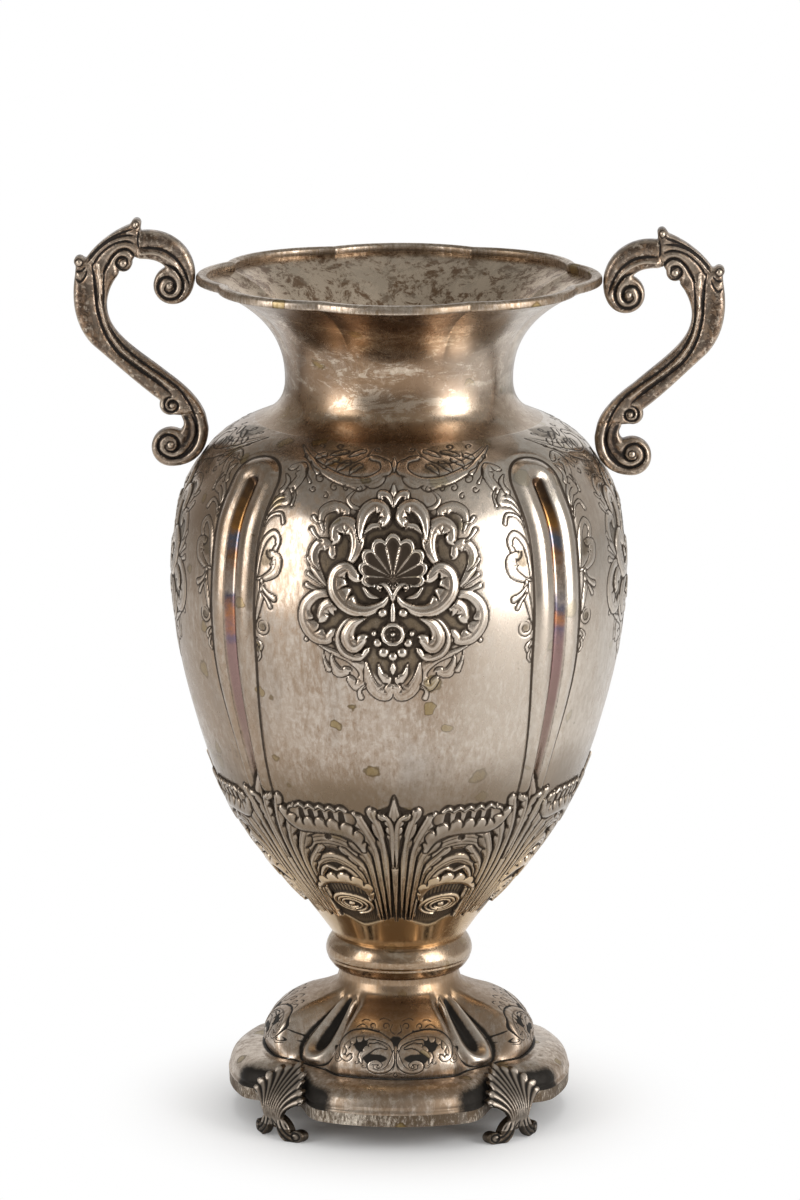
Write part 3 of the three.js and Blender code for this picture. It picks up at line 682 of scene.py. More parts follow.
def mottledCasting(tree, color):
    # castings are never polished in their pits: small dark blots between golden ones
    spot = objectSpot(tree)
    gold = rampOf(tree, noiseOf(tree, spot, 190.0, 5, 0.7, 0.6), 0.47, 0.55)
    color = tint(tree, color, (0.27, 0.17, 0.1), gold, 0.65)
    blots = rampOf(tree, noiseOf(tree, spot, 240.0, 6, 0.8, 0.8), 0.46, 0.51)
    color = tint(tree, color, (0.06, 0.042, 0.032), blots, 0.8)
    glints = rampOf(tree, noiseOf(tree, spot, 420.0, 4, 0.7, 0.3), 0.55, 0.62)
    return tint(tree, color, (0.66, 0.56, 0.45), glints, 0.65)


def smearedNeck(tree, color):
    # clean patches and wiped brown ones that run round the neck
    flat = stretched(tree, objectSpot(tree), (34, 34, 80))
    white = rampOf(tree, noiseOf(tree, flat, 1.7, 7, 0.78, 1.2), 0.5, 0.54)
    color = tint(tree, color, (0.76, 0.67, 0.55), white, 0.4)
    brown = rampOf(tree, noiseOf(tree, flat, 1.1, 8, 0.8, 0.9), 0.48, 0.51)
    return tint(tree, color, (0.24, 0.155, 0.095), brown, 0.8)


oldSilver = {
    "clean": (0.62, 0.54, 0.46),
    "warm": (0.27, 0.19, 0.125),
    "cool": (0.26, 0.25, 0.235),
    "deep": (0.04, 0.027, 0.017),
    "bright": (0.7, 0.63, 0.55),
    "tarnish": 0.62,
    "streaks": 0.35,
    "freckles": 0.45,
    "size": 1.0,
    "spots": 0.5,
    "dents": 0.5,
    "scratches": 0.5,
    "pits": 0.25,
    "rough": 0.07,
    "dullness": 0.2,
    "bump": 0.0006,
    "masks": {},
    "extra": (),
}
reliefMasks = {"Dark": "dark", "Worn": "worn"}
silverLooks = {
    "chased": {
        "clean": (0.52, 0.45, 0.385), "warm": (0.31, 0.23, 0.165), "spots": 0.8,
        "masks": {**reliefMasks, "Mat": "ground"}, "extra": (
            paintedSideLight, rainbowChannel, stainAndPaintedLightFrom(0.2, 0.17, 0.75, (0.14, 0.1, 0.062)),
            # painted light: the bottom of the belly is lightened towards gold, standing in for the paper's
            # reflection that the collar hides
            stainAndPaintedLightFrom(0.155, 0.12, 0.95, (0.6, 0.43, 0.25)))},
    "plain": {
        "clean": (0.62, 0.52, 0.42), "warm": (0.3, 0.2, 0.125), "tarnish": 0.66, "extra": (
            smearedNeck, paintedSideLight, stainAndPaintedLightFrom(0.352, 0.332, 0.5, (0.34, 0.24, 0.15)), dullInside)},
    "wire": {
        "clean": (0.62, 0.53, 0.44), "warm": (0.25, 0.18, 0.12), "tarnish": 0.6, "size": 1.5,
        "freckles": 0.9, "rough": 0.2},
    "cast": {
        "clean": (0.45, 0.34, 0.26), "warm": (0.18, 0.115, 0.072), "deep": (0.02, 0.015, 0.012),
        "bright": (0.6, 0.5, 0.4), "tarnish": 0.6, "freckles": 0.8, "size": 0.9, "spots": 0.0, "pits": 0.7,
        "rough": 0.22, "masks": reliefMasks, "extra": (mottledCasting,)},
    "foot": {
        "clean": (0.21, 0.175, 0.14), "warm": (0.08, 0.06, 0.043), "deep": (0.012, 0.01, 0.008),
        "bright": (0.43, 0.37, 0.31), "tarnish": 0.7, "size": 1.6, "spots": 0.0, "pits": 0.6, "rough": 0.2,
        "masks": reliefMasks},
    "dome": {
        "warm": (0.29, 0.21, 0.145), "deep": (0.014, 0.011, 0.008), "spots": 0.6, "rough": 0.2,
        "freckles": 0.8, "masks": reliefMasks, "extra": (
            stainAndPaintedLightFrom(0.048, 0.066, 0.75, (0.27, 0.17, 0.09)),)},
    "plinth": {
        "clean": (0.64, 0.55, 0.46), "warm": (0.28, 0.2, 0.135), "deep": (0.014, 0.011, 0.008),
        "tarnish": 0.6, "size": 0.7, "spots": 0.8, "rough": 0.2, "freckles": 0.8, "masks": reliefMasks},
    "crust": {
        "clean": (0.82, 0.74, 0.63), "warm": (0.13, 0.095, 0.065), "tarnish": 0.65, "size": 2.0,
        "freckles": 0.9, "pits": 1.0, "rough": 0.4, "bump": 0.0012},
}
silver = {name: silverMaterial(name + "Silver", {**oldSilver, **look}) for name, look in silverLooks.items()}
print("finishes made")

# The belly's sizes, and the drawings of its chased ornament in millimetres on the flattened sheet

belly = {
    "seatRadius": 29.7,  # where it stands on the collar
    "widestHeight": 246,
    "seamRadius": 64.5,  # where the neck is soldered on
    "sheet": 1.0,
    "lower": [(0, 0), (0.14, 0.085), (0.3, 0.165), (0.53, 0.3), (0.73, 0.46), (0.872, 0.65), (0.965, 0.83)],
    "shoulder": [(0, 0), (0.03, 0.3), (0.115, 0.525), (0.3, 0.71), (0.5, 0.85), (0.76, 0.945), (1, 1)],
    "borderTop": 176,  # height where the leaf border starts below the smooth belly
    "cell": 0.52,  # fineness of the upper panels
    "borderCell": 0.42,
    "boldRise": 2.3,  # of the bossed leaves round the shell
    "lowRise": 0.7,  # of the flat leaves outside them
    "groundSink": 0.35,
}


def scallopShell(sheet, hinge, tall, side, rise):
    # a shell seen from inside: a bright scalloped rim round dark flutes that run to the hinge
    at, x, y = partOfSheet(sheet, np.array([hinge], float), tall + 3)
    x, y = x - hinge[0], y - hinge[1] - 1.5
    angle = np.degrees(np.arctan2(np.abs(x), y))
    reach = np.hypot(x, y)
    lobe = 24.5
    within = np.mod(angle + lobe / 2, lobe) / lobe * 2 - 1  # -1 to 1 across one lobe
    outer = np.interp(angle, [0, 60, 110, 122], [tall - 1.5, side + 1.8, side - 2.2, 6])
    edge = reach - outer * (1 - 0.13 * np.abs(within) ** 2.2)
    rim = np.clip(-edge / 2.6, 0, 1)
    bowl = -0.9 * smoothStep(-edge, 2.0, 3.6) - 1.2 * np.clip(1 - reach / outer, 0, 1)
    crest = rise * np.sin(np.pi * np.clip(rim, 0, 0.5)) ** 0.6
    flutes = -0.35 * np.abs(np.cos(np.radians(angle * 180 / lobe))) ** 0.5 * smoothStep(-edge, 1.5, 4)
    lay(sheet, at, edge, crest + bowl + flutes, 0.34, 0.95)
    inside = smoothStep(-edge, 1.7, 2.6)
    ribs = np.exp(-((np.abs(within) - 1) * np.radians(lobe / 2) * reach / 0.36) ** 2)
    fine = 0.5 + 0.5 * np.cos(np.radians(angle) * reach * 7)
    dark = inside * np.clip(0.62 + 0.2 * fine - 0.75 * ribs + 0.35 * smoothStep(reach, 9, 2), 0, 1)
    darken(sheet, at, dark)
    sheet["rise"][at] += inside * ribs * 0.5


def ringFlower(sheet, centre, radius, rise):
    at, x, y = partOfSheet(sheet, np.array([centre], float), radius + 2)
    x, y = x - centre[0], y - centre[1]
    reach = np.hypot(x, y)
    angle = np.arctan2(y, x)
    ring = rise * (0.75 + 0.35 * np.cos(np.clip((reach / radius - 0.8) / 0.2, -1, 1) * np.pi / 2))
    star = smoothStep(reach, radius * 0.72, radius * 0.6)
    petals = 0.5 + 0.5 * np.cos(5 * angle)
    lay(sheet, at, reach - radius * (1 + 0.04 * np.cos(10 * angle)), ring - 0.9 * star, 0.34, 0.95)
    darken(sheet, at, star * np.clip(1.15 - 1.3 * petals * smoothStep(reach, 0.6, 2.2), 0, 1))
    bead(sheet, centre, radius * 0.24, rise, 0.9)


def drawCartouche(sheet):
    def boss(points, widths, *shape):
        leaf(sheet, points, widths, *shape)

    bold, low = belly["boldRise"], belly["lowRise"]
    # the matted ground behind everything
    mattedGround(sheet, [(-1, 57), (5, 58), (12, 55), (18, 50), (24, 51.5), (29, 47), (28, 38), (32, 34),
                         (33, 26), (29, 18), (33, 12), (36.5, 4), (34, -3), (28, -7), (24, -11), (19, -14),
                         (13, -15), (9, -20), (4, -25), (-1, -26.5)], belly["groundSink"])
    # flat scrolls round the outside
    boss([(17, 60.5), (20, 56.5), (17.5, 53), (12.5, 52.2)], (0.3, 0.9, 1.1, 0.5), 0.3, 0, -1, 1)
    boss([(31, 41.5), (32.2, 46), (30.8, 50.5), (26, 53), (21, 51.8), (20.5, 48.4)],
         (0.5, 1.4, 2.2, 2.5, 2.1, 1.2), low, 2, 1)
    boss([(25.5, 15), (31, 20), (34.8, 26), (35.2, 32), (32, 36.2), (27.6, 35.4), (26.4, 31.8)],
         (0.4, 1.2, 2.2, 2.5, 2.4, 2.2, 1.3), low * 1.1, 2, 1)
    for sprig, widths, veins in (
            ([(30.5, 17.5), (34, 20), (37.6, 22.6)], (0.3, 0.6, 1.2), 1),
            ([(30, 15.8), (34.5, 16.2), (38.4, 17.6)], (0.3, 0.7, 1.4), 1),
            ([(32.5, 24), (36, 26.4), (38, 29.2)], (0.2, 0.5, 1.0), 0),
            ([(31.5, 37), (34.4, 39.4), (36.2, 42)], (0.3, 0.7, 1.3), 0),
            ([(30.5, 46), (33.6, 45.4), (35.6, 47.6)], (0.2, 0.6, 1.0), 0)):
        boss(sprig, widths, low * 0.8, 0, 1, veins)
    # the low wings with a domed boss in each
    boss([(17, 9), (25, 13.6), (33, 14), (38.8, 9), (39.4, 1.8), (35, -4.6), (29, -6), (26.2, -3)],
         (0.4, 1.5, 2.1, 2.6, 2.9, 3.1, 2.7, 1.4), low * 1.6, 3, -1)
    boss([(11.5, 7), (18, 8.6), (24.5, 10.6), (30, 8.6), (31.8, 4.6)], (0.4, 1.5, 2.4, 3.1, 2.0),
         bold * 0.8, 3, -1)
    bead(sheet, (25.2, -5.6), 1.5, 1.0)
    bead(sheet, (38.8, -6.5), 1.1, 0.6)
    # the tail below: flat scrolls hanging from the wings
    boss([(33, -8.5), (26, -11.5), (18.5, -14), (13, -18.6), (12.2, -24.2), (16, -26.8), (19, -23.8)],
         (0.4, 1.3, 1.9, 2.5, 2.7, 2.3, 1.3), low, 2, 1)
    boss([(27, -12), (26.6, -16), (24, -20.6), (20.5, -20.4)], (0.3, 1.4, 2.4, 1.6), low * 0.9, 2, -1)
    boss([(31, -10.5), (30.4, -15), (28.4, -19.4)], (0.2, 0.7, 1.5), low * 0.8, 0, 1, 1)
    boss([(11.8, -15.5), (10.8, -22.5), (7.6, -28.6), (3, -31), (1, -27.8)],
         (0.5, 1.9, 2.8, 2.7, 1.6), low, 3, -1)
    boss([(12, -25.5), (14.6, -28.8), (14, -32)], (0.3, 0.8, 1.3), low * 0.8, 0, 1, 1)
    boss([(6.5, -16), (5.4, -20.5), (3.4, -23.5)], (0.3, 1.2, 1.6), low, 2, -1)
    # leaves that arch over the shell, and the palmette between them
    boss([(0, 53.5), (0, 58), (0, 64.5)], (0.8, 2.1, 0.3), 1.1, 0, 1, 1)
    boss([(0.3, 53.5), (2.2, 58.5), (5.4, 59.8), (6, 57)], (0.5, 1.3, 1.7, 1.0), 1.0, 1, -1)
    boss([(22.2, 25), (17.8, 30), (15.6, 36.4), (16.6, 42.6), (20.8, 45.6), (25.2, 43), (26, 38.8)],
         (0.5, 1.9, 3.0, 3.5, 3.7, 3.1, 1.8), bold * 0.85, 3, -1)
    boss([(14, 37.5), (14.2, 44), (12.6, 50), (8.6, 54), (4.6, 53), (2.7, 48.8), (4.2, 45.6)],
         (0.6, 1.8, 2.6, 3.1, 2.9, 2.2, 1.7), bold, 3, 1)
    boss([(12.6, 41), (9.6, 44.6), (6.6, 45.4)], (0.4, 1.5, 1.0), bold * 0.5, 2, 1)
    scallopShell(sheet, (0, 20.6), 21.4, 15.4, bold)
    # the two great scrolls under the shell
    boss([(6, 13.4), (10, 14.4), (12.6, 17.8)], (0.5, 1.5, 0.9), bold * 0.7, 0, 1, 1)
    boss([(0.7, 16.5), (4.6, 10.8), (12.4, 7.6), (20, 9.8), (25, 16), (24.6, 23.2), (20, 26.2),
          (15.8, 22.8)], (0.6, 1.9, 2.9, 3.6, 3.9, 3.7, 3.2, 1.9), bold * 1.1, 4, 1, 3)
    # curled lower leaves on each side of the flower
    boss([(13, 5), (20.5, 2.5), (24, -4.5), (21.5, -11), (15, -13.6), (11, -10.2)],
         (0.6, 1.3, 1.6, 1.9, 1.7, 1.0), bold * 0.55, 2, -1)
    boss([(11.6, 4.6), (17.4, 1.6), (19.8, -4.2), (17, -8.4), (13, -5.6)],
         (0.6, 2.4, 3.3, 3.4, 1.9), bold * 0.9, 3, -1)
    # the flower, its petals and the drop under it
    for petal in ((4.5, 7, 2.3), (6.6, -6.4, 2.2), (4.0, -10.8, 2.5), (0, -12.6, 2.2), (8.2, -2.2, 1.5)):
        bead(sheet, petal[:2], petal[2], bold * 0.75, 1.0)
        groove(sheet, [(petal[0] * 0.75, petal[1] * 0.75), petal[:2]], 0.3, 0.25, 0.8)
    boss([(0, -15), (0, -18), (0, -21.6)], (0.3, 1.6, 0.2), 0.9, 0, 1, 1)
    boss([(0, 3), (0, 8), (0, 13)], (1.2, 1.5, 0.5), bold * 0.6, 0, 1, 1)
    ringFlower(sheet, (0, -2.4), 5.4, bold)
    # the small capital that ties shell and scrolls
    boss([(0, 13.2), (1.4, 16.6), (3.6, 19.2), (6.2, 18.6), (5.4, 16.8)], (1.3, 1.2, 1.3, 1.3, 0.8),
         bold * 1.2)
    bead(sheet, (5.2, 18.2), 1.0, bold * 1.2)


flatRise = {"band": 0.32, "strip": 0.3}  # the engraved leaves hardly stand out


def drawShoulderBand(sheet):
    # flat engraved scrolls from the flutes to the middle of the panel
    rise = flatRise["band"]
    sweep = [(43, 84), (38.5, 76), (31, 69.4), (21, 65), (11, 65.4), (4.6, 70.4), (5, 76.6), (9.6, 78.4)]
    leaf(sheet, sweep, (0.4, 1.6, 2.4, 2.8, 2.8, 2.4, 1.9, 1.2), rise, 3, 1, 3, outline=0.3, ink=1.0)
    cuts = {"outline": 0.28, "ink": 0.95}
    for root, tip, swell in (
            ((36, 76), (32, 79.5), 1.4), ((31, 72.6), (26.5, 77), 1.5),
            ((25.5, 69.8), (21, 75.2), 1.6), ((19.5, 68.6), (15.5, 73.8), 1.5),
            ((29, 79), (22, 82.5), 1.5), ((20, 79), (14, 83.5), 1.4)):
        middle = (mix(root[0], tip[0], 0.6) + 1.2, mix(root[1], tip[1], 0.4))
        leaf(sheet, [root, middle, tip], (0.3, swell, swell * 0.7), rise, 1, 1, 2, **cuts)
    groove(sheet, [(42, 86), (36, 80), (28, 75.5), (19, 75), (12, 80), (9, 86)], 0.28, 0.15, 0.9)
    leaf(sheet, [(0, 70.5), (0, 74), (0, 79)], (0.3, 1.3, 0.2), rise, 0, 1, 1, **cuts)
    # little drops under the band beside the flutes
    for root, tip, swell in (
            ((38, 74), (34.5, 68.4), 1.3), ((36, 76), (31.4, 71.5), 0.9),
            ((39.6, 70), (38, 63.4), 0.9)):
        middle = (mix(root[0], tip[0], 0.5) + 0.8, mix(root[1], tip[1], 0.5))
        leaf(sheet, [root, middle, tip], (0.2, 0.4, swell), rise, 0, 1, 0, **cuts)
    # thin curls that fill the band above and below, and hatching behind them
    for centre, radius, start, turns in (
            ((33, 65.6), 2.4, 60, -1.2), ((26.4, 61.8), 2.0, 80, -1.2),
            ((15.4, 61.4), 1.8, 100, 1.2), ((24, 86), 2.2, 250, 1.2),
            ((33.6, 85.4), 1.8, 250, -1.2), ((7.4, 85), 1.8, 200, 1.2),
            ((36.4, 60.4), 1.9, 20, -1.2), ((30.4, 57.6), 1.7, 60, 1.2),
            ((21, 61.6), 1.7, 120, -1.2), ((41, 77), 1.6, 60, 1.2)):
        groove(sheet, spiralPoints(centre, radius, start, turns), 0.3, 0.18, 1.0, 60)
    for stroke in np.arange(11, 38, 0.9):
        groove(sheet, [(stroke, 79.4), (stroke + 2, 83)], 0.16, 0.05, 0.4)
    mattedGround(sheet, [(26, 76.5), (18, 77.5), (12, 72), (16, 69.5), (24, 72.5)], 0.04)
    mattedGround(sheet, [(34, 83), (24, 79), (14, 86), (30, 90)], 0.03)


def drawFluteStrip(sheet):
    # the engraved strip beside a flute: x is the distance from the flute's edge, y the run up the belly
    def engrave(points, widths, lobes=0, side=1, veins=1):
        leaf(sheet, points, widths, flatRise["strip"], lobes, side, veins, ink=0.95)

    engrave([(1, 44), (2.4, 52), (7.6, 58.6), (9.6, 66), (6.4, 71.6), (2.6, 70)],
            (0.4, 1.3, 2.2, 2.4, 2.0, 1.2), 2, 1, 2)
    engrave([(1.2, 46), (4.4, 51.5), (8.6, 53.4), (6.4, 58)], (0.3, 1.3, 2.0, 1.2), 2, 1, 2)
    engrave([(1.6, 66), (4.6, 62.6), (4.2, 58)], (0.3, 1.2, 1.2), 1, -1)
    engrave([(8.4, 60), (11.2, 56.4), (11.6, 52)], (0.2, 0.5, 0.9), veins=0)
    engrave([(1.2, 41), (3.6, 46), (8, 47.4), (10.6, 43.6)], (0.3, 0.7, 0.9, 1.1))
    engrave([(0.8, 18), (1.4, 28), (3.4, 35), (7.2, 38.6), (10.6, 35.4), (9.8, 31)],
            (0.4, 1.1, 1.5, 1.6, 1.5, 1.0), 1, -1, 2)
    engrave([(0.9, 17.5), (5.4, 18.4), (10.4, 22), (11.2, 27.4), (7.6, 29.6)],
            (0.4, 1.7, 2.6, 2.4, 1.4), 3, 1, 2)
    mattedGround(sheet, [(2.6, 24), (5.4, 23.4), (7.8, 26), (6.6, 31), (3.8, 31)], 0.12)
    engrave([(1, -2), (2.8, 6), (4.2, 12), (3.4, 17)], (0.4, 1.4, 1.8, 0.7), 1, -1, 2)
    engrave([(3.4, 15.6), (7, 11.8), (10.8, 9.8)], (0.3, 1.0, 1.6))
    engrave([(4, 12), (7, 9), (9, 6)], (0.3, 0.8, 1.2))
    # a ring hangs under them, with two drops
    centre = (4.6, -3.4)
    groove(sheet, spiralPoints(centre, 4.1, 80, 0.95, 0.86), 0.3, 0.25, 0.8, 80)
    groove(sheet, spiralPoints(centre, 2.9, 60, 1.0, 0.5), 0.26, 0.2, 0.7, 80)
    mattedGround(sheet, [tuple(spot) for spot in spiralPoints(centre, 1.9, 0, 1, 1, 9)[:-1]], 0.2)
    engrave([(1, -9), (3.6, -12), (2.2, -15)], (0.3, 1.0, 0.8), side=-1)
    engrave([(0.8, -12), (2.6, -16.4), (1.2, -19)], (0.2, 0.8, 0.6), side=-1, veins=0)


border = {
    "narrowing": 0.544,  # the cone's half angle, as its sine
    "coneRadius": 157,  # along the cone from its tip to the level below
    "coneLevel": 165,
    "rise": 1.5,
    "groundSink": 0.5,
}


def onCone(places):
    # turns in degrees from the middle of a panel, and heights, to places on the flattened cone
    turn, height = np.array(places, float).T
    reach = border["coneRadius"] + np.interp(height, coneHeights, coneRuns)
    angle = np.radians(turn) * border["narrowing"]
    return np.stack([reach * np.sin(angle), reach * np.cos(angle)], 1)


def drawPalmette(sheet, middle, tall, toward, rise):
    # long leaves that rise together and part at their tips; toward is +1 or -1 round the vase
    for low, middling, high, tip, widths in (
            ((9.4, 99), (9.6, 114), (11.2, 128), (18, 139), (0.3, 1.2, 1.9, 1.6)),
            ((7.6, 98.5), (8.2, 116), (9.6, 134), (15.4, 148.5), (0.3, 1.3, 2.3, 2.9)),
            ((5.2, 99), (5.7, 119), (6.8, 140), (11.4, 155.5), (0.3, 1.3, 2.2, 2.6)),
            ((2.8, 100), (3.2, 122), (4.0, 144), (6.6, 159), (0.3, 1.2, 2.1, 1.9))):
        lift = (tall - 167) * (1 - tip[0] / 20)
        path = [(middle + toward * turn, height + lift * max(height - 130, 0) / 37)
                for turn, height in (low, middling, high, tip)]
        leaf(sheet, onCone(path), widths, rise, 2, -toward, 2, outline=0.3, lobeSize=0.6)
        aside = [(turn + toward * 1.1, height) for turn, height in path[:-1]]
        groove(sheet, onCone(aside), 0.24, 0.25, 0.7, 60)
    leaf(sheet, onCone([(middle, 98), (middle, 128), (middle, tall - 15), (middle, tall)]),
         (0.3, 0.8, 1.2, 1.6, 2.2, 4.0, 3.4, 0.4), rise, 0, 1, 3, outline=0.36)
    beside = [(middle + toward * 0.7, 130), (middle + toward, tall - 15), (middle + toward * 3.6, tall - 10)]
    leaf(sheet, onCone(beside), (0.4, 1.8, 1.5), rise, 3, -toward, 1, outline=0.3)


def drawBorder(sheet):
    # half a panel of the leaf border, from the middle of the panel to a flute
    rise = border["rise"]
    field = [(-3, 163), (3, 161), (8, 157), (14, 156), (20, 158), (28, 158), (34, 158), (39, 160), (43, 165),
             (49, 166), (48, 120), (40, 104), (30, 98), (22, 95), (12, 97), (3, 100), (-3, 100)]
    mattedGround(sheet, onCone(field), border["groundSink"])
    for turn in np.arange(1.5, 45, 1.9):  # fine lines that gather at the bottom
        lean = (turn - 22) * 0.32
        groove(sheet, onCone([(turn, 132), (turn - lean * 0.4, 112), (turn - lean, 98)]), 0.24, 0.25, 0.6)
    # the scroll between two palmettes: ribbed arches inside each other
    for path, widths, veins in (
            ([(10.4, 101), (8.6, 116), (10.6, 130), (16, 139.5), (23, 142.5), (30, 139.5), (35.6, 130),
              (38, 116), (35, 102)],
             (0.5, 2.0, 3.2, 4.3, 4.8, 4.3, 3.2, 2.0, 0.5), 4),
            ([(13, 106), (12, 117), (14.6, 126.5), (18.6, 131.5), (23.2, 133.4), (28, 131.5), (32, 126.5),
              (34, 117), (32.4, 106)],
             (0.4, 1.2, 2.2, 2.9, 3.2, 2.9, 2.2, 1.2, 0.4), 3)):
        leaf(sheet, onCone(path), widths, rise * 0.8, 0, 1, veins, outline=0.34, ink=0.85)
    for swing in (-1, 1):  # two leaves that meet over the hollow
        path = [(23.2 + swing * 9.4, 116), (23.2 + swing * 8, 123), (23.2 + swing * 4, 128.4), (23.2, 127)]
        leaf(sheet, onCone(path), (0.5, 1.2, 1.7, 0.6), rise * 0.8, 1, swing, 1, outline=0.3)
    mattedGround(sheet, onCone([(17.6, 121), (20, 125.6), (23.2, 126), (27, 125.6), (29.4, 121)]), 0.6)
    drawPalmette(sheet, 0, 167, 1, rise)
    drawPalmette(sheet, 45, 172, -1, rise)
    # shell pockets under the scalloped rim at the top
    leaf(sheet, onCone([(14.5, 154.6), (20, 156), (27, 156), (32.6, 154.6)]), (3.8, 4.6, 4.6, 3.8),
         rise * 0.5, veins=0)
    for pocket in range(5):
        turn = 16.6 + 3.4 * pocket
        leaf(sheet, onCone([(turn, 151), (turn, 154), (turn, 157)]), (1.1, 1.35, 1.1), -0.5, veins=0)
        spot = onCone([(turn, 154)])
        at, x, y = partOfSheet(sheet, spot, 3.4)
        slot = np.clip(1 - ((x - spot[0, 0]) / 1.35) ** 4 - ((y - spot[0, 1]) / 3.6) ** 4, 0, 1)
        darken(sheet, at, 0.85 * slot)
        leaf(sheet, onCone([(turn - 1.7, 158.8), (turn, 160.3), (turn + 1.7, 158.8)]), (0.8, 1.1, 0.8), rise,
             veins=0)
    # the scalloped leaf under the pockets, and the small one over the oval
    path = [(10.6, 139), (12.2, 144), (15, 147.2), (18.6, 148.8), (23, 149.2), (28, 149), (32, 149),
            (35, 151.4), (37.6, 156)]
    leaf(sheet, onCone(path), (1.2, 2.4, 3.0, 3.3, 3.4, 3.3, 3.1, 2.6, 1.4), rise * 1.25, 8, 1, 0, 0.8,
         lobeGap=0.118)
    bead(sheet, onCone([(22.6, 145)])[0], 1.35, -0.3, 0.95)
    path = [(11, 112), (12.6, 117), (16, 120), (21, 121.4), (26.4, 121), (31, 119.8), (35.4, 116.4)]
    leaf(sheet, onCone(path), (0.9, 2.0, 2.5, 2.6, 2.5, 2.2, 1.1), rise * 1.1, 6, 1, 0, 0.8, lobeGap=0.155)
    bead(sheet, onCone([(23.4, 118.6)])[0], 1.0, -0.3, 0.95)
    # the oval scroll, flat rings inside each other round a small bead
    centre = onCone([(23.2, 107.6)])[0]
    for radius, width in ((8.2, 1.2), (6.1, 0.95), (4.2, 0.8)):
        ring = spiralPoints((0, 0), radius, 250, -1.1, 0.7, 30) * [1.18, 0.86] + centre
        leaf(sheet, ring, (width * 0.5, width, width, width * 0.6), rise * 0.45, veins=1, ink=0.6)
    bead(sheet, centre, 1.6, rise * 0.6, 0.6)

# The belly: one raised sheet, chased from the front, in four panels that meet in the flutes

flute = {
    "channel": 2.3,
    "hollow": 0.28,  # half the channel, as a share of half the flute
    "ridge": 1.7,
    "groove": 0.5,
    "halfWidth": (7.7, 14.3, 14.4),  # low, middle, top
    "foot": 81,  # above the collar seat
    "bend": 18,  # the round end is centred this far under the neck seam
}
bellyLow, bellyHigh = boxOf("body")


def profile(shares, start, end):
    return [(mix(start[0], end[0], out), mix(start[1], end[1], up)) for out, up in shares]


def bellyProfile():
    seat = (belly["seatRadius"], bellyLow[2])
    widest = (bellyHigh[0], belly["widestHeight"])
    seam = (belly["seamRadius"], bellyHigh[2])
    knots = profile(belly["lower"], seat, widest) + profile(belly["shoulder"], widest, seam)
    return splineThrough(knots, 1400)


bellyLine = bellyProfile()
fluteLow = bellyLow[2] + flute["foot"]
fluteTop = bellyHigh[2] - flute["bend"]
fluteTopRadius = np.interp(fluteTop, bellyLine[:, 1], bellyLine[:, 0])
widestRun = np.interp(belly["widestHeight"], bellyLine[:, 1], ropeLength(bellyLine))


def fluteHalfWidth(height):
    low, middle, top = flute["halfWidth"]
    between = (fluteLow + fluteTop) / 2
    return (low + (middle - low) * smoothStep(height, fluteLow, between)
            + (top - middle) * smoothStep(height, between, fluteTop))


def fluteShare(radius, height, turn):
    across = np.abs(fromDiagonal(turn)) * radius
    past = np.where(height > fluteTop, np.hypot(height - fluteTop, radius - fluteTopRadius), 0)
    return np.hypot(across, past) / fluteHalfWidth(height)


def fluteStrength(height):
    width = flute["halfWidth"][0]
    return smoothStep(height, fluteLow - width, fluteLow + width / 2)


def fluteRelief(radius, height, turn):
    share = fluteShare(radius, height, turn)
    section = flutedSection(share, flute["ridge"], flute["channel"], flute["groove"], flute["hollow"])
    return section * fluteStrength(height)


def bellyGrid(line, turns, depth, relief):
    # points of one panel: the smooth shape, moved out by the flutes and the chasing
    out = facing(line)
    radius, height = line[:, :1], line[:, 1:]
    amount = fluteRelief(radius, height, turns) + relief - depth
    seam = np.abs(height - bellyHigh[2]) < 0.01
    moveUp = np.where(seam, 0, out[:, 1:] * amount)
    return turned(radius + out[:, :1] * amount, height + moveUp, turns)


def bellyPanel(name, line, middle, cell, chasing, material):
    ratio = 4
    widest = line[:, 0].max() * np.pi / 2
    columns = cells(widest, cell * coarse, ratio)
    run = ropeLength(line)[-1]
    line = evenly(line, run / cells(run, cell * coarse, ratio))
    turns = middle + np.linspace(-np.pi / 4, np.pi / 4, columns + 1)
    relief, masks = chasing(line, turns - middle)
    outside = bellyGrid(line, turns, 0, relief)
    inside = bellyGrid(line[::ratio], turns[::ratio], belly["sheet"], 0)
    return sheetPiece(name, outside, inside, material, ["body"], masks, closed=False)


def fluteMask(line, off):
    share = fluteShare(line[:, :1], line[:, 1:], off)
    return smoothStep(share / flute["hollow"], 1, 0.7) * fluteStrength(line[:, 1:])


def fluteShadow(line, off):
    # the dark lines on both sides of a flute's ridges
    share = fluteShare(line[:, :1], line[:, 1:], off)
    lines = np.maximum(0.9 * bump(share, 0.99, 0.09), 0.4 * bump(share, flute["hollow"], 0.06))
    return lines * fluteStrength(line[:, 1:])


coneHeights = bellyLine[:, 1]
coneRuns = ropeLength(bellyLine) - np.interp(border["coneLevel"], coneHeights, ropeLength(bellyLine))


def chasedSheets():
    panel = newSheet(-2, 60, -40, 92, 0.25 * coarse)
    drawCartouche(panel)
    drawShoulderBand(panel)
    strip = newSheet(-1, 16, -24, 78, 0.25 * coarse)
    drawFluteStrip(strip)
    leaves = newSheet(-2, 78, 60, 178, 0.25 * coarse)
    drawBorder(leaves)
    for sheet in (panel, strip, leaves):
        patinaOf(sheet)
    return panel, strip, leaves


panelSheet, stripSheet, borderSheet = chasedSheets()
print("ornament drawn")


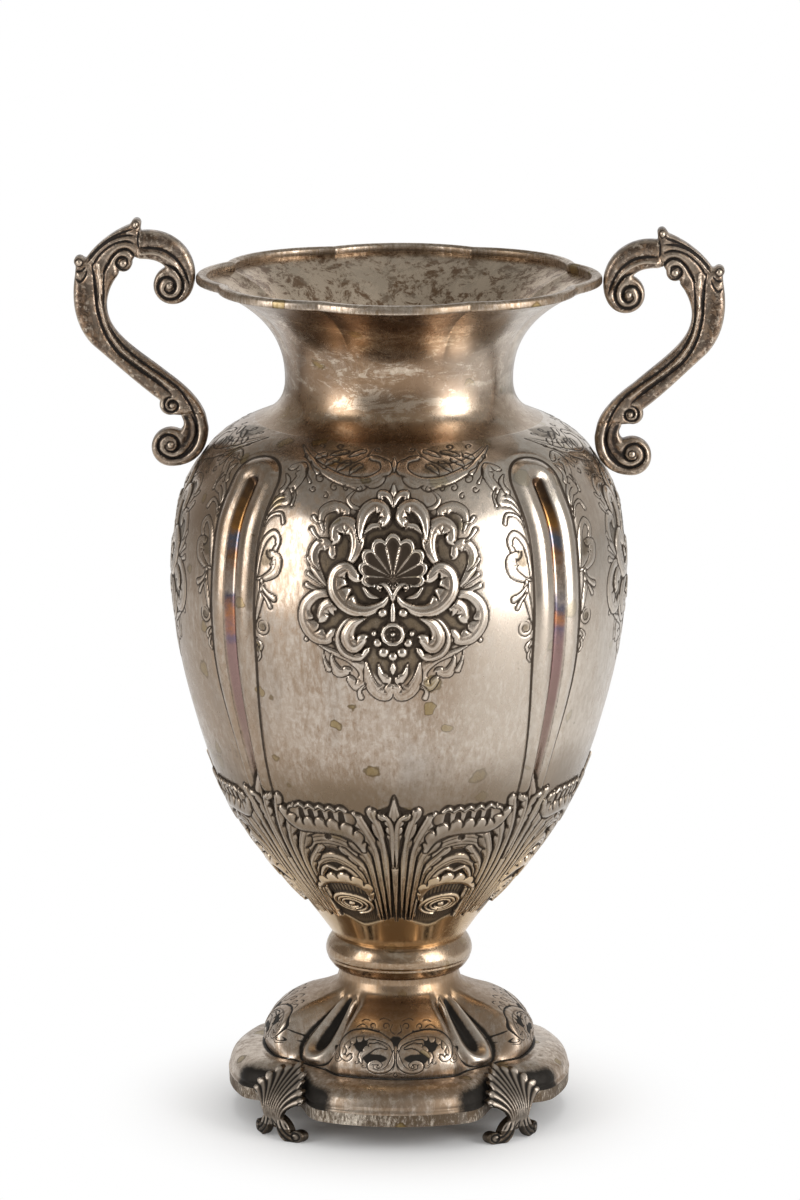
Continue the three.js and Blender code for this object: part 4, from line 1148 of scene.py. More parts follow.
def upperChasing(raised):
    # the cartouche, the strips beside the flutes and the band on the shoulder
    def chasing(line, off):
        radius, height = line[:, :1], line[:, 1:]
        run = np.interp(height, bellyLine[:, 1], ropeLength(bellyLine)) - widestRun
        across = np.abs(off) * radius
        fromFlute = np.abs(fromDiagonal(off)) * radius - fluteHalfWidth(height)
        found = {}
        for layer, share in {"rise": raised, "dark": 1, "ground": 1, "worn": 1}.items():
            found[layer] = (share * readSheet(panelSheet, layer, across, run + 0 * across)
                            + readSheet(stripSheet, layer, fromFlute, run + 0 * across))
        rise = found.pop("rise")
        found["dark"] = np.maximum(found["dark"], fluteShadow(line, off))
        return rise, {**found, "channel": fluteMask(line, off)}
    return chasing


def borderChasing(line, off):
    radius, height = line[:, :1], line[:, 1:]
    reach = border["coneRadius"] + np.interp(height, coneHeights, coneRuns)
    angle = np.abs(off) * border["narrowing"]
    found = {layer: readSheet(borderSheet, layer, reach * np.sin(angle), reach * np.cos(angle))
             for layer in ("rise", "dark", "ground", "worn")}
    rise = found.pop("rise")
    found["worn"] = 0.5 * found["worn"]
    found["dark"] = np.minimum(1.3 * found["dark"] + 0.04, 1) * (found["dark"] > 0)
    found["dark"] = np.maximum(found["dark"], fluteShadow(line, off))
    return rise, {**found, "channel": fluteMask(line, off)}


panelNames = {"right": 0, "back": np.pi / 2, "left": np.pi, "front": -np.pi / 2}
panelRaised = {"right": 0.4, "back": 1, "left": 0.4, "front": 1}  # the panels under the handles are flatter
borderTop = np.searchsorted(bellyLine[:, 1], belly["borderTop"])
for side, middle in panelNames.items():
    bellyPanel("belly_upper_" + side, bellyLine[borderTop:], middle, belly["cell"],
               upperChasing(panelRaised[side]), silver["chased"])
    bellyPanel("belly_border_" + side, bellyLine[:borderTop + 1], middle, belly["borderCell"],
               borderChasing, silver["chased"])


def bellyBottom():
    # the closed end of the shell, on the collar
    turns = np.linspace(0, 2 * np.pi, 49)[:-1]
    radii = np.array([belly["seatRadius"] - belly["sheet"], 20, 10, 1.5])[::-1]
    height = bellyLow[2] + belly["sheet"] / 2
    top = turned(radii[:, None], height + belly["sheet"] / 2 - 0.01, turns)
    under = turned(radii[:, None], height - belly["sheet"] / 2 + 0.01, turns)
    return sheetPiece("belly_bottom", under, top, silver["plain"], ["body"])


bellyBottom()
print("belly made")

# The neck: one flared sheet from the shoulder seam to the lobed mouth

neck = {
    "waistRadius": 51,
    "waistRise": 17.5,
    "mouthRadius": 89,
    "sheet": 1.0,
    "cell": 0.8,
    "lobes": 8,
    "cuspDepth": 5,
}
rim = {
    "overhang": 1.6,
    "width": 4.8,
    "lowerRound": 1.0,
    "upperRound": 1.9,
    "step": 0.5,  # the line cut along the wire's inner edge
}
collar = {"bore": 26.5, "seatRadius": 29.7, "lip": 0.9, "lipRise": 0.8}
neckLow, neckHigh = boxOf("neck")
rimLow, rimHigh = boxOf("rim_wire")
collarLow, collarHigh = boxOf("collar")
waistHeight = neckLow[2] + neck["waistRise"]
flareRise = neckHigh[2] - waistHeight
roundTurns = np.linspace(0, 2 * np.pi, 641)[:-1]


def rimDip(turn):
    # the mouth runs in eight shallow lobes with a cusp between each two
    share = np.mod(turn * neck["lobes"] / (2 * np.pi) + 0.5, 1) * 2 - 1
    return neck["cuspDepth"] * share ** 2


def neckProfile():
    waist, mouth = neck["waistRadius"], neck["mouthRadius"]
    seam, rise = neckLow[2], neck["waistRise"]
    low = bezier((belly["seamRadius"], seam), (mix(waist, belly["seamRadius"], 0.26), seam + rise * 0.2),
                 (waist, seam + rise * 0.54), (waist, waistHeight), 60)
    high = bezier((waist, waistHeight), (waist, waistHeight + flareRise * 0.32),
                  (mix(waist, mouth, 0.13), waistHeight + flareRise * 0.73), (mouth, neckHigh[2]), 120)
    return np.concatenate([low, high[1:]])


def neckGrid(line, turns, depth):
    out = facing(line)
    level = np.zeros(len(line), bool)
    level[[0, -1]] = True
    outward = np.where(level, 1 / np.maximum(np.abs(out[:, 0]), 0.3), out[:, 0])[:, None]
    upward = np.where(level, 0, out[:, 1])[:, None]
    share = np.clip((line[:, 1:] - waistHeight) / flareRise, 0, 1)
    radius = line[:, :1] - depth * outward - rimDip(turns) * share ** 2
    return turned(radius, line[:, 1:] - depth * upward + 0 * turns, turns)


def makeNeck():
    line = evenly(neckProfile(), neck["cell"] * coarse)
    if (len(line) - 1) % 4:  # the inside takes every fourth row
        line = evenly(line, ropeLength(line)[-1] / 128)
    outside = neckGrid(line, roundTurns, 0)
    inside = neckGrid(line, roundTurns, neck["sheet"])
    height = line[:, 1:] + 0 * roundTurns
    return sheetPiece("neck_sheet", outside, inside, silver["plain"], ["neck"],
                      {"seam": bump((height - neckLow[2]) / 6, 0, 1)})


def rimSection():
    # the wire's section, up the outside, over the top and down the inside
    outer, rise = neck["mouthRadius"] + rim["overhang"], rimHigh[2] - rimLow[2]
    inner = outer - rim["width"]
    low, high = rim["lowerRound"], rim["upperRound"]
    outside = [(outer - low + low * math.sin(turn), low - low * math.cos(turn))
               for turn in np.linspace(0, np.pi / 2, 6)]
    crown = [(outer - high + high * math.cos(turn), rise - high + high * math.sin(turn))
             for turn in np.linspace(0, np.pi / 2, 9)]
    lip = [(outer - 3.0, rise), (outer - 3.3, rise - 0.15), (outer - 3.5, rise - rim["step"]),
           (outer - 3.9, rise - rim["step"]), (outer - 4.2, rise - 0.35), (inner + 0.2, rise - 0.6),
           (inner, rise - 1.2)]
    return outside + crown + lip + [(inner, 0.6), (inner + 0.3, 0)]


def ringPiece(name, section, base, dip, turns, material, replaced):
    # a closed section swept round the axis
    section = np.array(section)
    points = turned(section[:, :1] - dip(turns), base + section[:, 1:] + 0 * turns, turns)
    numbers = numbersOf(points)
    faces = gridFaces(np.concatenate([numbers, numbers[:1]]), closed=True)
    return makePiece(name, points, [faces], material, replaced, None, bakeSpots(points))


def collarSection():
    bulge = collarHigh[0] - collar["seatRadius"]
    rise = collarHigh[2] - collarLow[2]
    share = np.linspace(0, 1, 40)[1:-1]
    # a round bead with a fine line cut under its crown
    out = bulge * np.sin(np.pi * share) ** 0.8 - 0.45 * bump(share, 0.3, 0.05)
    bead = np.stack([collar["seatRadius"] + out, mix(collar["lipRise"], rise, share)], 1)
    return [(collar["seatRadius"] - collar["lip"], 0), (collar["seatRadius"], collar["lipRise"]), *bead,
            (collar["seatRadius"], rise), (collar["bore"], rise), (collar["bore"], 0)]


makeNeck()
ringPiece("rim_moulding", rimSection(), rimLow[2], rimDip, roundTurns, silver["wire"],
          ["rim_wire"])
ringPiece("collar_bead", collarSection(), collarLow[2], lambda turn: 0 * turn, roundTurns, silver["plain"],
          ["collar"])
print("neck, rim and collar made")

# The base: a domed sheet of four lobes on a spreading plinth that is notched on each diagonal

base = {
    "domeNeckRadius": 27.6,
    "lobeRun": 54.6,  # from a lobe's lower crease up to the neck, along the sheet
    "lobeCrease": 61,
    "valleyCrease": 56,
    "lobeTurns": (9, 21),  # degrees from a diagonal between which a lobe swells
    "domeLobe": [(0, 1), (0, 0.9), (0.06, 0.79), (0.256, 0.7), (0.56, 0.6), (0.83, 0.45), (0.985, 0.26),
                 (1.025, 0.12), (1, 0)],
    "domeValley": [(0, 1), (0, 0.9), (0.05, 0.79), (0.18, 0.62), (0.42, 0.43), (0.7, 0.22), (0.92, 0.06),
                   (1, 0)],
    "loop": {"ridge": 2.3, "channel": 1.8, "groove": 0.7, "halfWidth": (4, 11.5), "bend": 0.68},
    "ovolo": [(1, 0), (1, 0.07), (0.955, 0.16), (0.955, 0.3), (0.86, 0.58), (0.6, 0.84), (0.3, 0.95),
              (0.1, 0.965), (0, 1)],
    "notchDepth": 14,
    "notchHalfTurn": 20.5,
    "bandWidth": 2.4,
    "sheet": 1.0,
    "tuck": (0.6, -2.4),  # how far outside the dome's crease the plinth's sheet ends, outside and inside
}
domeLow, domeHigh = boxOf("foot_dome")
plinthLow, plinthHigh = boxOf("plinth")
bandLow, bandHigh = boxOf("edge_band")
plinthRadius = plinthHigh[0]


def lobeShare(turn):
    low, high = np.radians(base["lobeTurns"])
    return smoothStep(np.abs(fromDiagonal(turn)), low, high)


def notchShare(turn):
    return bump(np.abs(fromDiagonal(turn)) / math.radians(base["notchHalfTurn"]), 0, 1)


def creaseRadius(turn):
    return mix(base["valleyCrease"], base["lobeCrease"], lobeShare(turn))


def domeLines(count):
    ends = {"domeLobe": base["lobeCrease"], "domeValley": base["valleyCrease"]}
    top = (base["domeNeckRadius"], domeLow[2])
    return [splineThrough(profile(base[key], top, (crease, domeHigh[2])), count)
            for key, crease in ends.items()]


def loopShare(share, radius, turn):
    narrow, wide = base["loop"]["halfWidth"]
    half = mix(narrow, wide, smoothStep(share, 0.25, 0.8))
    length = (base["valleyCrease"] - base["domeNeckRadius"]) * math.sqrt(2)
    past = np.maximum(share - base["loop"]["bend"], 0) * length
    return np.hypot(np.abs(fromDiagonal(turn)) * radius, past) / half


def drawDomeLobe(sheet):
    # half a lobe: a scroll that turns under beside its mirror image, a long leaf swept out over it,
    # dark ground between the two and thin curls round them
    for patch in (
            ((12.4, 19.4), (15, 21), (18.4, 20.4), (19, 18), (17.2, 15.8), (14.4, 15.6), (13.4, 17.4)),
            ((3.4, 13.4), (6.4, 14.8), (10.6, 15), (15, 15), (14.2, 12), (11.6, 9.6), (8.8, 11.6),
             (6.2, 11.4)),
            ((-0.6, 18.2), (1.6, 18.4), (2.6, 20.4), (1.5, 21.6), (-0.6, 21.8))):
        darken(sheet, ..., 0.95 * insideOf(sheet, patch))
    ink = {"outline": 0.2, "ink": 0.9}
    leaf(sheet, [(4, 17.4), (8.4, 18.2), (12.4, 16.4), (15.6, 13.6), (15.2, 10.8)],
         (0.3, 1.0, 1.3, 1.1, 0.5), 0.12, 3, 1, 1, 0.7, **ink, lobeGap=0.2)
    long = [(0.9, 15.6), (2.4, 19.2), (8, 21.8), (14, 22.4), (20, 21.2), (24.4, 17.6), (24.8, 13.6),
            (22.4, 11.6), (20.6, 13.2)]
    leaf(sheet, long, (0.4, 1.1, 1.6, 1.8, 1.9, 1.9, 1.6, 1.2, 0.8), 0.12, 6, -1, 1, 0.7, **ink, lobeGap=0.1)
    under = [(0.9, 16.4), (1.7, 11.6), (3.6, 7.4), (7.4, 5.2), (11, 6.8), (11.4, 10), (9, 11.6), (6.8, 10.2),
             (7.2, 8.4)]
    leaf(sheet, under, (0.3, 1.0, 1.4, 1.5, 1.4, 1.3, 1.1, 0.9, 0.7), 0.14, 2, 1, 1, 0.6, **ink,
         lobeGap=0.16)
    leaf(sheet, [(0, 4.6), (0, 3.2), (0, 1.8)], (0.3, 0.9, 0.2), 0.1, 0, 1, 0, **ink)
    for centre, radius, start, turns in (
            ((14.4, 8.6), 1.7, 120, 1.1), ((17.8, 10.6), 1.3, 120, 1.1),
            ((27.2, 12.2), 1.6, 90, -1.1), ((8.2, 8.4), 1.3, 90, 0.8),
            ((4.6, 25.6), 1.8, 200, -1.1), ((10.6, 25.4), 1.5, 200, -1.1)):
        groove(sheet, spiralPoints(centre, radius, start, turns), 0.2, 0.12, 0.85, 60)
    for curl in (
            ((0.4, 15), (0.5, 10), (1.5, 5.6)), ((1.2, 4.8), (3, 3.6), (5, 4)),
            ((24.6, 11.4), (27, 9.6), (29, 11.4)), ((26.4, 17.4), (28.8, 15.6), (29, 13.4)),
            ((0.3, 22.6), (2.4, 24), (1.4, 27)), ((2, 27.6), (5.4, 29.2), (8, 28)),
            ((7, 24), (9, 23.6), (12.6, 24)), ((12.6, 24.6), (15.4, 26), (18.6, 24.2)),
            ((11.6, 27.6), (14, 28.2), (16, 27))):
        groove(sheet, curl, 0.2, 0.1, 0.8)
    for stroke in np.arange(6, 22, 0.8):  # hatching behind the long leaf
        groove(sheet, [(stroke, 16.4), (stroke + 2, 19.6)], 0.14, 0.04, 0.35)
    patinaOf(sheet, 0.9, 1.2)


domeDrawing = newSheet(-2, 42, -1, 40, 0.16)
drawDomeLobe(domeDrawing)


def onLobe(layer, share, radius, turn):
    sideways = np.abs(fromDiagonal(turn + np.pi / 4)) * radius
    return readSheet(domeDrawing, layer, sideways, (1 - share) * base["lobeRun"] + 0 * sideways)


def domeGrid(rows, turns, depth):
    # the sheet's places, and where it is dark and where it is worn
    lobe, valley = domeLines(rows)
    swell = lobeShare(turns)[None, :, None]
    spots = valley[:, None] * (1 - swell) + lobe[:, None] * swell
    way = np.gradient(spots, axis=0)
    way /= np.hypot(way[..., 0], way[..., 1])[..., None]
    share = np.linspace(0, 1, rows)[:, None]
    loop = base["loop"]
    spread = loopShare(share, spots[..., 0], turns)
    begins = smoothStep(share, 0.3, 0.45)
    amount = flutedSection(spread, loop["ridge"], loop["channel"], loop["groove"]) * begins
    chased = onLobe("rise", share, spots[..., 0], turns) * (depth == 0)
    amount = amount - depth + chased
    level = np.zeros((rows, 1), bool)
    level[[0, -1]] = True
    radius = spots[..., 0] + np.where(level, amount, -amount * way[..., 1])
    height = spots[..., 1] + np.where(level, 0, amount * way[..., 0])
    dark = np.maximum(1.6 * bump(spread, 0, 0.47) ** 0.8, 0.7 * bump(spread, 1.0, 0.16)) * begins
    dark = np.maximum(dark, onLobe("dark", share, spots[..., 0], turns))
    # painted shade along the lobe's lower crease, where the sheet turns under, over a little crust
    dark = np.maximum(dark, smoothStep(share, 0.975, 1) * 0.7)
    worn = np.maximum(0.7 * bump(spread, 0.62, 0.3) * begins, onLobe("worn", share, spots[..., 0], turns))
    return turned(radius, height, turns)[::-1], {"dark": dark[::-1], "worn": worn[::-1]}


def plinthGrid(line, turns, depth):
    # the ovolo, from the edge up and in to the crease under the dome
    out, up = line[:, :1], line[:, 1:]
    edge = plinthRadius - base["notchDepth"] * notchShare(turns) - depth
    radius = mix(creaseRadius(turns) + base["tuck"][depth > 0], edge, out)
    return turned(radius, plinthLow[2] + (plinthHigh[2] - plinthLow[2] - depth) * up + 0 * turns, turns)


def bandSection():
    rise, width = bandHigh[2] - bandLow[2], base["bandWidth"]
    return [(-width, 0), (-0.3, 0), (-0.25, rise * 0.3), (-0.1, rise * 0.7), (0, rise), (-width, rise)]


def makeBase():
    turns = np.linspace(0, 2 * np.pi, 1281 if coarse == 1 else 641)[:-1]
    rough = turns[::2]
    dome, masks = domeGrid(145 if coarse == 1 else 101, turns, 0)
    inside = domeGrid(26, rough, base["sheet"])[0]
    sheetPiece("foot_dome_sheet", dome, inside, silver["dome"], ["foot_dome"], masks)
    line = splineThrough(base["ovolo"], 49)
    up, beside = line[:, 1:], np.abs(fromDiagonal(turns))
    # painted shade, over a little crust, in the crease under the dome, and dark where crust has crept out
    # beside the feet
    crease = 0.75 * smoothStep(line[:, :1], 0.11, 0.0) + 0 * turns
    crust = 0.76 * smoothStep(beside, math.radians(28), math.radians(18)) * smoothStep(up, 1, 0.5)
    masks = {"dark": np.maximum(crease, crust)}
    sheetPiece("plinth_sheet", plinthGrid(line, turns, 0), plinthGrid(line[::4], rough, base["sheet"]),
               silver["plinth"], ["plinth"], masks)
    edge = plinthRadius - base["notchDepth"] * notchShare(turns)
    ringPiece("edge_strip", bandSection(), bandLow[2], lambda turn: -edge, turns, silver["crust"],
              ["edge_band"])


makeBase()
print("base made")

# Castings: an outline filled out to a plate, or a plate of points, melted into one smooth skin

def bareMesh(points, faces):
    mesh = bpy.data.meshes.new("bare")
    mesh.from_pydata([tuple(point) for point in points], [], [tuple(map(int, face)) for face in faces])
    return mesh


def filledOutline(outline, thickness, edgeRound):
    curve = bpy.data.curves.new("outline", "CURVE")
    curve.dimensions = "2D"
    curve.fill_mode = "BOTH"
    curve.extrude = thickness / 2 - edgeRound
    curve.bevel_depth = edgeRound
    curve.offset = -edgeRound
    curve.bevel_resolution = 3
    spline = curve.splines.new("POLY")
    spline.points.add(len(outline) - 1)
    flat = np.column_stack([outline, np.zeros(len(outline)), np.ones(len(outline))])
    spline.points.foreach_set("co", flat.ravel())
    spline.use_cyclic_u = True
    holder = bpy.data.objects.new("outline", curve)
    mesh = bpy.data.meshes.new_from_object(holder)
    points = np.zeros(len(mesh.vertices) * 3)
    mesh.vertices.foreach_get("co", points)
    faces = [tuple(face.vertices) for face in mesh.polygons]
    return points.reshape(-1, 3), faces


def melted(parts, voxel, smoothing):
    # joins the parts into one skin of small quads and takes the steps out of it
    points = np.concatenate([part[0] for part in parts])
    faces, start = [], 0
    for spots, quads in parts:
        faces += [tuple(int(v) + start for v in face) for face in quads]
        start += len(spots)
    holder = bpy.data.objects.new("melt", bareMesh(points, faces))
    bpy.context.scene.collection.objects.link(holder)
    skin = holder.modifiers.new("skin", "REMESH")
    skin.mode = "VOXEL"
    skin.voxel_size = voxel
    smooth = holder.modifiers.new("smooth", "SMOOTH")
    smooth.factor = 0.5
    smooth.iterations = smoothing
    mesh = bpy.data.meshes.new_from_object(holder.evaluated_get(bpy.context.evaluated_depsgraph_get()))
    spots, normals = np.zeros(len(mesh.vertices) * 3), np.zeros(len(mesh.vertices) * 3)
    mesh.vertices.foreach_get("co", spots)
    mesh.vertices.foreach_get("normal", normals)
    order = np.zeros(len(mesh.loops), np.int32)
    mesh.loops.foreach_get("vertex_index", order)
    assert len(order) == 4 * len(mesh.polygons), "the skin is all quads"
    bpy.data.objects.remove(holder)
    return spots.reshape(-1, 3), normals.reshape(-1, 3), order.reshape(-1, 4)

# The feet: a cast leaf folded round each notch of the base, on two curled toes

foot = {
    "thickness": 1.7,
    "ribHeight": 1.0,
    "ribs": 11,
    "scallop": 0.86,
    "halfWidth": 17.6,
    "bow": 0.018,
    "ankleHalfWidth": 5.4,
    "ankleHeight": 6,
    "toeReach": 12.6,
    "toeCurl": 2.9,
    "toeDepth": 5,
    "toeInset": -0.2,
    "toeHeel": 2.5,
    "toeRing": (13, 10.5),  # the ribs on a toe run round this place, aside and up
    "toePitch": 2.3,
    "hook": (15.2, 17.3),  # the small curl above a toe, aside and up
    "ringRadius": {"toe": 1.75, "hook": 1.8},
    "standOff": 1,
    "wingDrop": 3.6,
    "wingTurn": 78,
    "tipClearance": 4,
    "voxel": 0.33,
}
leafTop = boxOf("foot_front_left")[1][2]
wingSpring = plinthLow[2] - foot["wingDrop"]
leafLean = plinthRadius + foot["standOff"] - base["valleyCrease"] - foot["tipClearance"]


def leafFace(side, height):
    # how far from the axis the leaf's face lies
    lean = np.maximum(height - wingSpring, 0) / (leafTop - wingSpring)
    middle = 1 - np.minimum(np.abs(side) / foot["halfWidth"], 1) ** 2
    return plinthRadius + foot["standOff"] - leafLean * middle * lean ** 1.6 - foot["bow"] * side ** 2


def ribWave(across):
    # 1 on a rib's crest and 0 in the groove between two
    return np.abs(np.cos(across * foot["ribs"] * np.pi / 2)) ** 0.7


def leafPlate():
    columns, rows = foot["ribs"] * 8 + 1, 49
    across, up = np.meshgrid(np.linspace(-1, 1, columns), np.linspace(0, 1, rows))
    fiveLobes = mix(0.9, 1, np.abs(np.cos(across * 2.5 * np.pi)) ** 0.6)
    reach = mix(foot["scallop"], 1, ribWave(across)) * fiveLobes
    wing = math.radians(foot["wingTurn"])
    tipSide = foot["halfWidth"] * np.sin(wing * across) * reach
    tipHeight = wingSpring + (leafTop - wingSpring) * np.cos(wing * across) * reach
    side = mix(foot["ankleHalfWidth"] * across, tipSide, up ** 2.1)
    height = mix(foot["ankleHeight"] - 1.2 + 3.4 * across ** 2, tipHeight, 1 - (1 - up) ** 1.35)
    rib = foot["ribHeight"] * ribWave(across) * (smoothStep(up, 0.04, 0.24) + 0.7 * bump(up, 0.96, 0.1))
    face = leafFace(side, height) - 2 * smoothStep(up, 0.16, 0)  # its lower end is sunk in the toes
    front = np.stack([face + rib, side, height], -1)
    back = np.stack([face - foot["thickness"], side, height], -1)
    face = numbersOf(front)
    rear = face + face.size
    faces = [gridFaces(face), gridFaces(rear)[:, ::-1]]
    for edge, other in (
            (face[0], rear[0]), (rear[-1], face[-1]), (rear[:, 0], face[:, 0]), (face[:, -1], rear[:, -1])):
        faces.append(np.stack([other[:-1], other[1:], edge[1:], edge[:-1]], -1))
    return np.concatenate([front.reshape(-1, 3), back.reshape(-1, 3)]), np.concatenate(faces)


def toePart(direction):
    reach, curl, heel, ankle = foot["toeReach"], foot["toeCurl"], foot["toeHeel"], foot["ankleHeight"]
    top = ankle * 2
    share = np.linspace(0, 1, 12)[:, None]

    def quadratic(start, pull, end):
        start, pull, end = np.array(start), np.array(pull), np.array(end)
        return start * (1 - share) ** 2 + 2 * pull * share * (1 - share) + end * share ** 2

    turn = np.linspace(0.72 * np.pi, -np.pi / 2, 30)
    curled = np.stack([reach + curl * np.cos(turn), curl + curl * np.sin(turn)], 1)
    outline = np.concatenate([
        quadratic((heel, top), (heel + ankle, top - ankle / 3), (reach - curl, curl * 1.55)), curled,
        quadratic((reach - curl * 1.9, 0), (heel + ankle / 4, ankle / 4), (heel, ankle))])
    points, faces = filledOutline(outline * [direction, 1], foot["toeDepth"], 0.9)
    side, height, depth = points.T
    inset = foot["toeDepth"] / 2 - depth
    return np.stack([leafFace(side, 0) - inset - foot["toeInset"], side, height], 1), faces


def footSkin():
    points, normals, faces = melted([leafPlate(), toePart(1), toePart(-1)], foot["voxel"] * coarse, 3)
    out, side, height = points.T
    facingOut = np.clip(normals[:, 0], 0, 1)
    side = np.abs(side)
    # a bead with a dark ring round it in each toe's curl, and one in each hook above
    toe = np.hypot(side - foot["toeReach"], height - foot["toeCurl"])
    hook = np.hypot(side - foot["hook"][0], height - foot["hook"][1])
    toeRing, hookRing = foot["ringRadius"]["toe"], foot["ringRadius"]["hook"]
    dark = bump(toe, toeRing, 0.6) + bump(hook, hookRing, 0.6)
    lift = 0.55 * np.clip(1 - (toe / 1.4) ** 2, 0, 1) - 0.4 * bump(toe, toeRing, 0.5)
    lift = lift + 0.5 * np.clip(1 - (hook / 1.5) ** 2, 0, 1) - 0.35 * bump(hook, hookRing, 0.5)
    points = points + (facingOut * lift)[:, None] * [1, 0, 0]
    # the ribs run on round the hollow of each toe
    ring = np.hypot(side - foot["toeRing"][0], height - foot["toeRing"][1])
    onToe = smoothStep(height, 11, 8) * smoothStep(side, 14, 11) * facingOut
    wave = 0.5 + 0.5 * np.cos(ring * 2 * np.pi / foot["toePitch"])
    points = points + (0.5 * (wave - 0.5) * onToe)[:, None] * [1, 0, 0]
    dark = dark + 0.9 * (1 - wave) ** 1.5 * onToe
    # how deep each point lies between the ribs
    face = leafFace(points[:, 1], points[:, 2]) + foot["ribHeight"]
    onLeaf = (height > foot["ankleHeight"]) & (normals[:, 0] > 0.1)
    deep = np.where(onLeaf, np.clip((face - points[:, 0]) / foot["ribHeight"], 0, 1.2), 0)
    deep = deep * smoothStep(height, foot["ankleHeight"] + 3, foot["ankleHeight"] + 7)
    dark = np.clip(dark * facingOut + np.maximum(deep - 0.12, 0) * 1.3, 0, 1)
    worn = np.where(onLeaf, np.clip(1 - deep * 3.5, 0, 1), 0) + 0.6 * (lift > 0.2)
    return points, faces, {"dark": dark, "worn": np.clip(worn, 0, 1)}


footPoints, footFaces, footMasks = footSkin()
for name, corner in (("back_right", 0), ("back_left", 1), ("front_left", 2), ("front_right", 3)):
    turn = np.pi / 2 * (corner + 0.5)
    cosine, sine = math.cos(turn), math.sin(turn)
    turnedBy = np.array([[cosine, sine, 0], [-sine, cosine, 0], [0, 0, 1]])
    makePiece("leaf_foot_" + name, footPoints @ turnedBy, [footFaces], silver["foot"],
              ["foot_" + name], footMasks)
print("feet made")

# The handles: four castings each, in the plane of the axis, soldered end to end

handle = {
    "thickness": 10,
    "edgeRound": 3.0,
    "leafEdgeRound": 2.1,
    "shoulderDrop": 16,
    "rimRise": 1.6,
    "rightDrop": 3.2,  # the right handle was soldered on this much lower
    "gap": 0.3,
    "scrollEnd": 24.3,
    "leafEnd": 2,
    "stemEnd": 16.5,
    "lap": 2,  # how far each casting reaches into the next
    "contactFall": (3.2, 78.4),  # the stem's lines are drawn for this much in and down from rim to shoulder
    "bendFall": 50,  # from here down they follow the shoulder's contact altogether
    "voxel": 0.45,
}


def arc(centre, radius, fromDegrees, toDegrees, count=24):
    angle = np.radians(np.linspace(fromDegrees, toDegrees, count))
    return np.stack([centre[0] + radius * np.cos(angle), centre[1] + radius * np.sin(angle)], 1)


def handleDrawing(drop):
    # the castings' outlines, out from the axis and up, and the places of the two contacts
    shoulderHeight = neckLow[2] - handle["shoulderDrop"] - drop
    bellyOut = np.interp(shoulderHeight, bellyLine[:, 1], bellyLine[:, 0])
    rimAt = np.array([rimHigh[0] + handle["gap"], rimLow[2] + handle["rimRise"] - drop])
    shoulderAt = np.array([bellyOut + handle["gap"] * 1.5, shoulderHeight])
    end, leafEnd, stemEnd, lap = handle["scrollEnd"], handle["leafEnd"], handle["stemEnd"], handle["lap"]
    upperScroll = rimAt + np.concatenate([
        [(end + lap * 1.3, 20.8)],
        bezier((end, 21.3), (11.5, 23), (0.4, 14.5), (0, 2), 30),
        bezier((0, 2), (-0.1, -5.5), (3.6, -11.6), (10.1, -11.6), 20)[1:],
        arc((10.1, -3.1), 8.5, -90, 68)[1:],
        bezier((13.4, 5.4), (15.6, 7.8), (19.6, 8.9), (end, 8.7), 12),
        [(end + lap * 1.3, 9.6)]])
    leaf = rimAt + np.concatenate([
        arc((26, 24.8), 2.1, 200, 40, 10),
        bezier((29, 24), (37, 21), (45, 14.5), (48.7, 8.6), 20),
        arc((51.6, 7.6), 2.4, 140, -50, 14),
        [(53.2, 4.8)],
        bezier((53.5, leafEnd), (52.4, -6), (47.4, -4.6), (46.4, 0.4), 10),
        bezier((46.4, 0.4), (44, -5.6), (37.4, -4), (34.1, leafEnd), 12)[1:],
        arc((31.9, 7), 3.9, -50, -190, 16),
        bezier((27, 9.5), (25.6, 11), (24.9, 12), (end, 13), 6),
        bezier((end, 13), (end - 3, 15), (end - 2.6, 19.6), (end, 21.6), 10)[1:]])
    # the stem hangs from the rim's contact and stands on the shoulder's
    elbow, innerElbow, innerWaist = rimAt + (46.1, -30), rimAt + (34.6, -25), shoulderAt + (15.3, 35)
    elbowPull = mix(elbow, shoulderAt + (19.3, 23), 0.3)
    waistPull = mix(innerWaist, innerElbow, 0.35)
    stem = np.concatenate([
        rimAt + [(34.8, leafEnd + lap), (53, leafEnd + lap)],
        bezier(*(rimAt + [(53.5, leafEnd), (55.9, -12), (53.1, -22.5)]), elbow, 24),
        bezier(elbow, elbowPull, *(shoulderAt + [(28, 29.5), (19.2, 23.2)]), 16)[1:],
        arc(shoulderAt + (14.8, 21.4), 4.8, 10, -105, 12),
        [shoulderAt + (10, stemEnd)],
        bezier(*(shoulderAt + [(-1, stemEnd), (1.5, 23.5), (7.8, 29.6)]), innerWaist, 12),
        bezier(innerWaist, waistPull, rimAt + (29.1, -31.5), innerElbow, 12)[1:],
        bezier(innerElbow, *(rimAt + [(40.6, -18), (42.1, -9), (34.1, leafEnd)]), 24)[1:]])
    lowerScroll = shoulderAt + np.concatenate([
        [(0.2, stemEnd + lap), (9.6, stemEnd + lap), (10, stemEnd)],
        bezier((9, 14.2), (8.6, 13), (8.6, 11.4), (10.3, 9.6), 6),
        arc((14.6, 2), 8.7, 118, -90, 30)[1:],
        bezier((14.6, -6.7), (5.8, -6.7), (-2.2, -1.5), (-2.2, 10.5), 24)[1:],
        [(-1, stemEnd)]])
    outlines = {"upper_scroll": upperScroll, "leaf": leaf, "stem": stem, "lower_scroll": lowerScroll}
    return outlines, rimAt, shoulderAt


def moulding(sheet, points, width=0.5, depth=0.6, soft=1.5, ink=0.95):
    # a cut line whose edges are rounded over
    groove(sheet, points, soft, depth * 0.9, 0.1, 90)
    groove(sheet, points, width, depth, ink, 90)


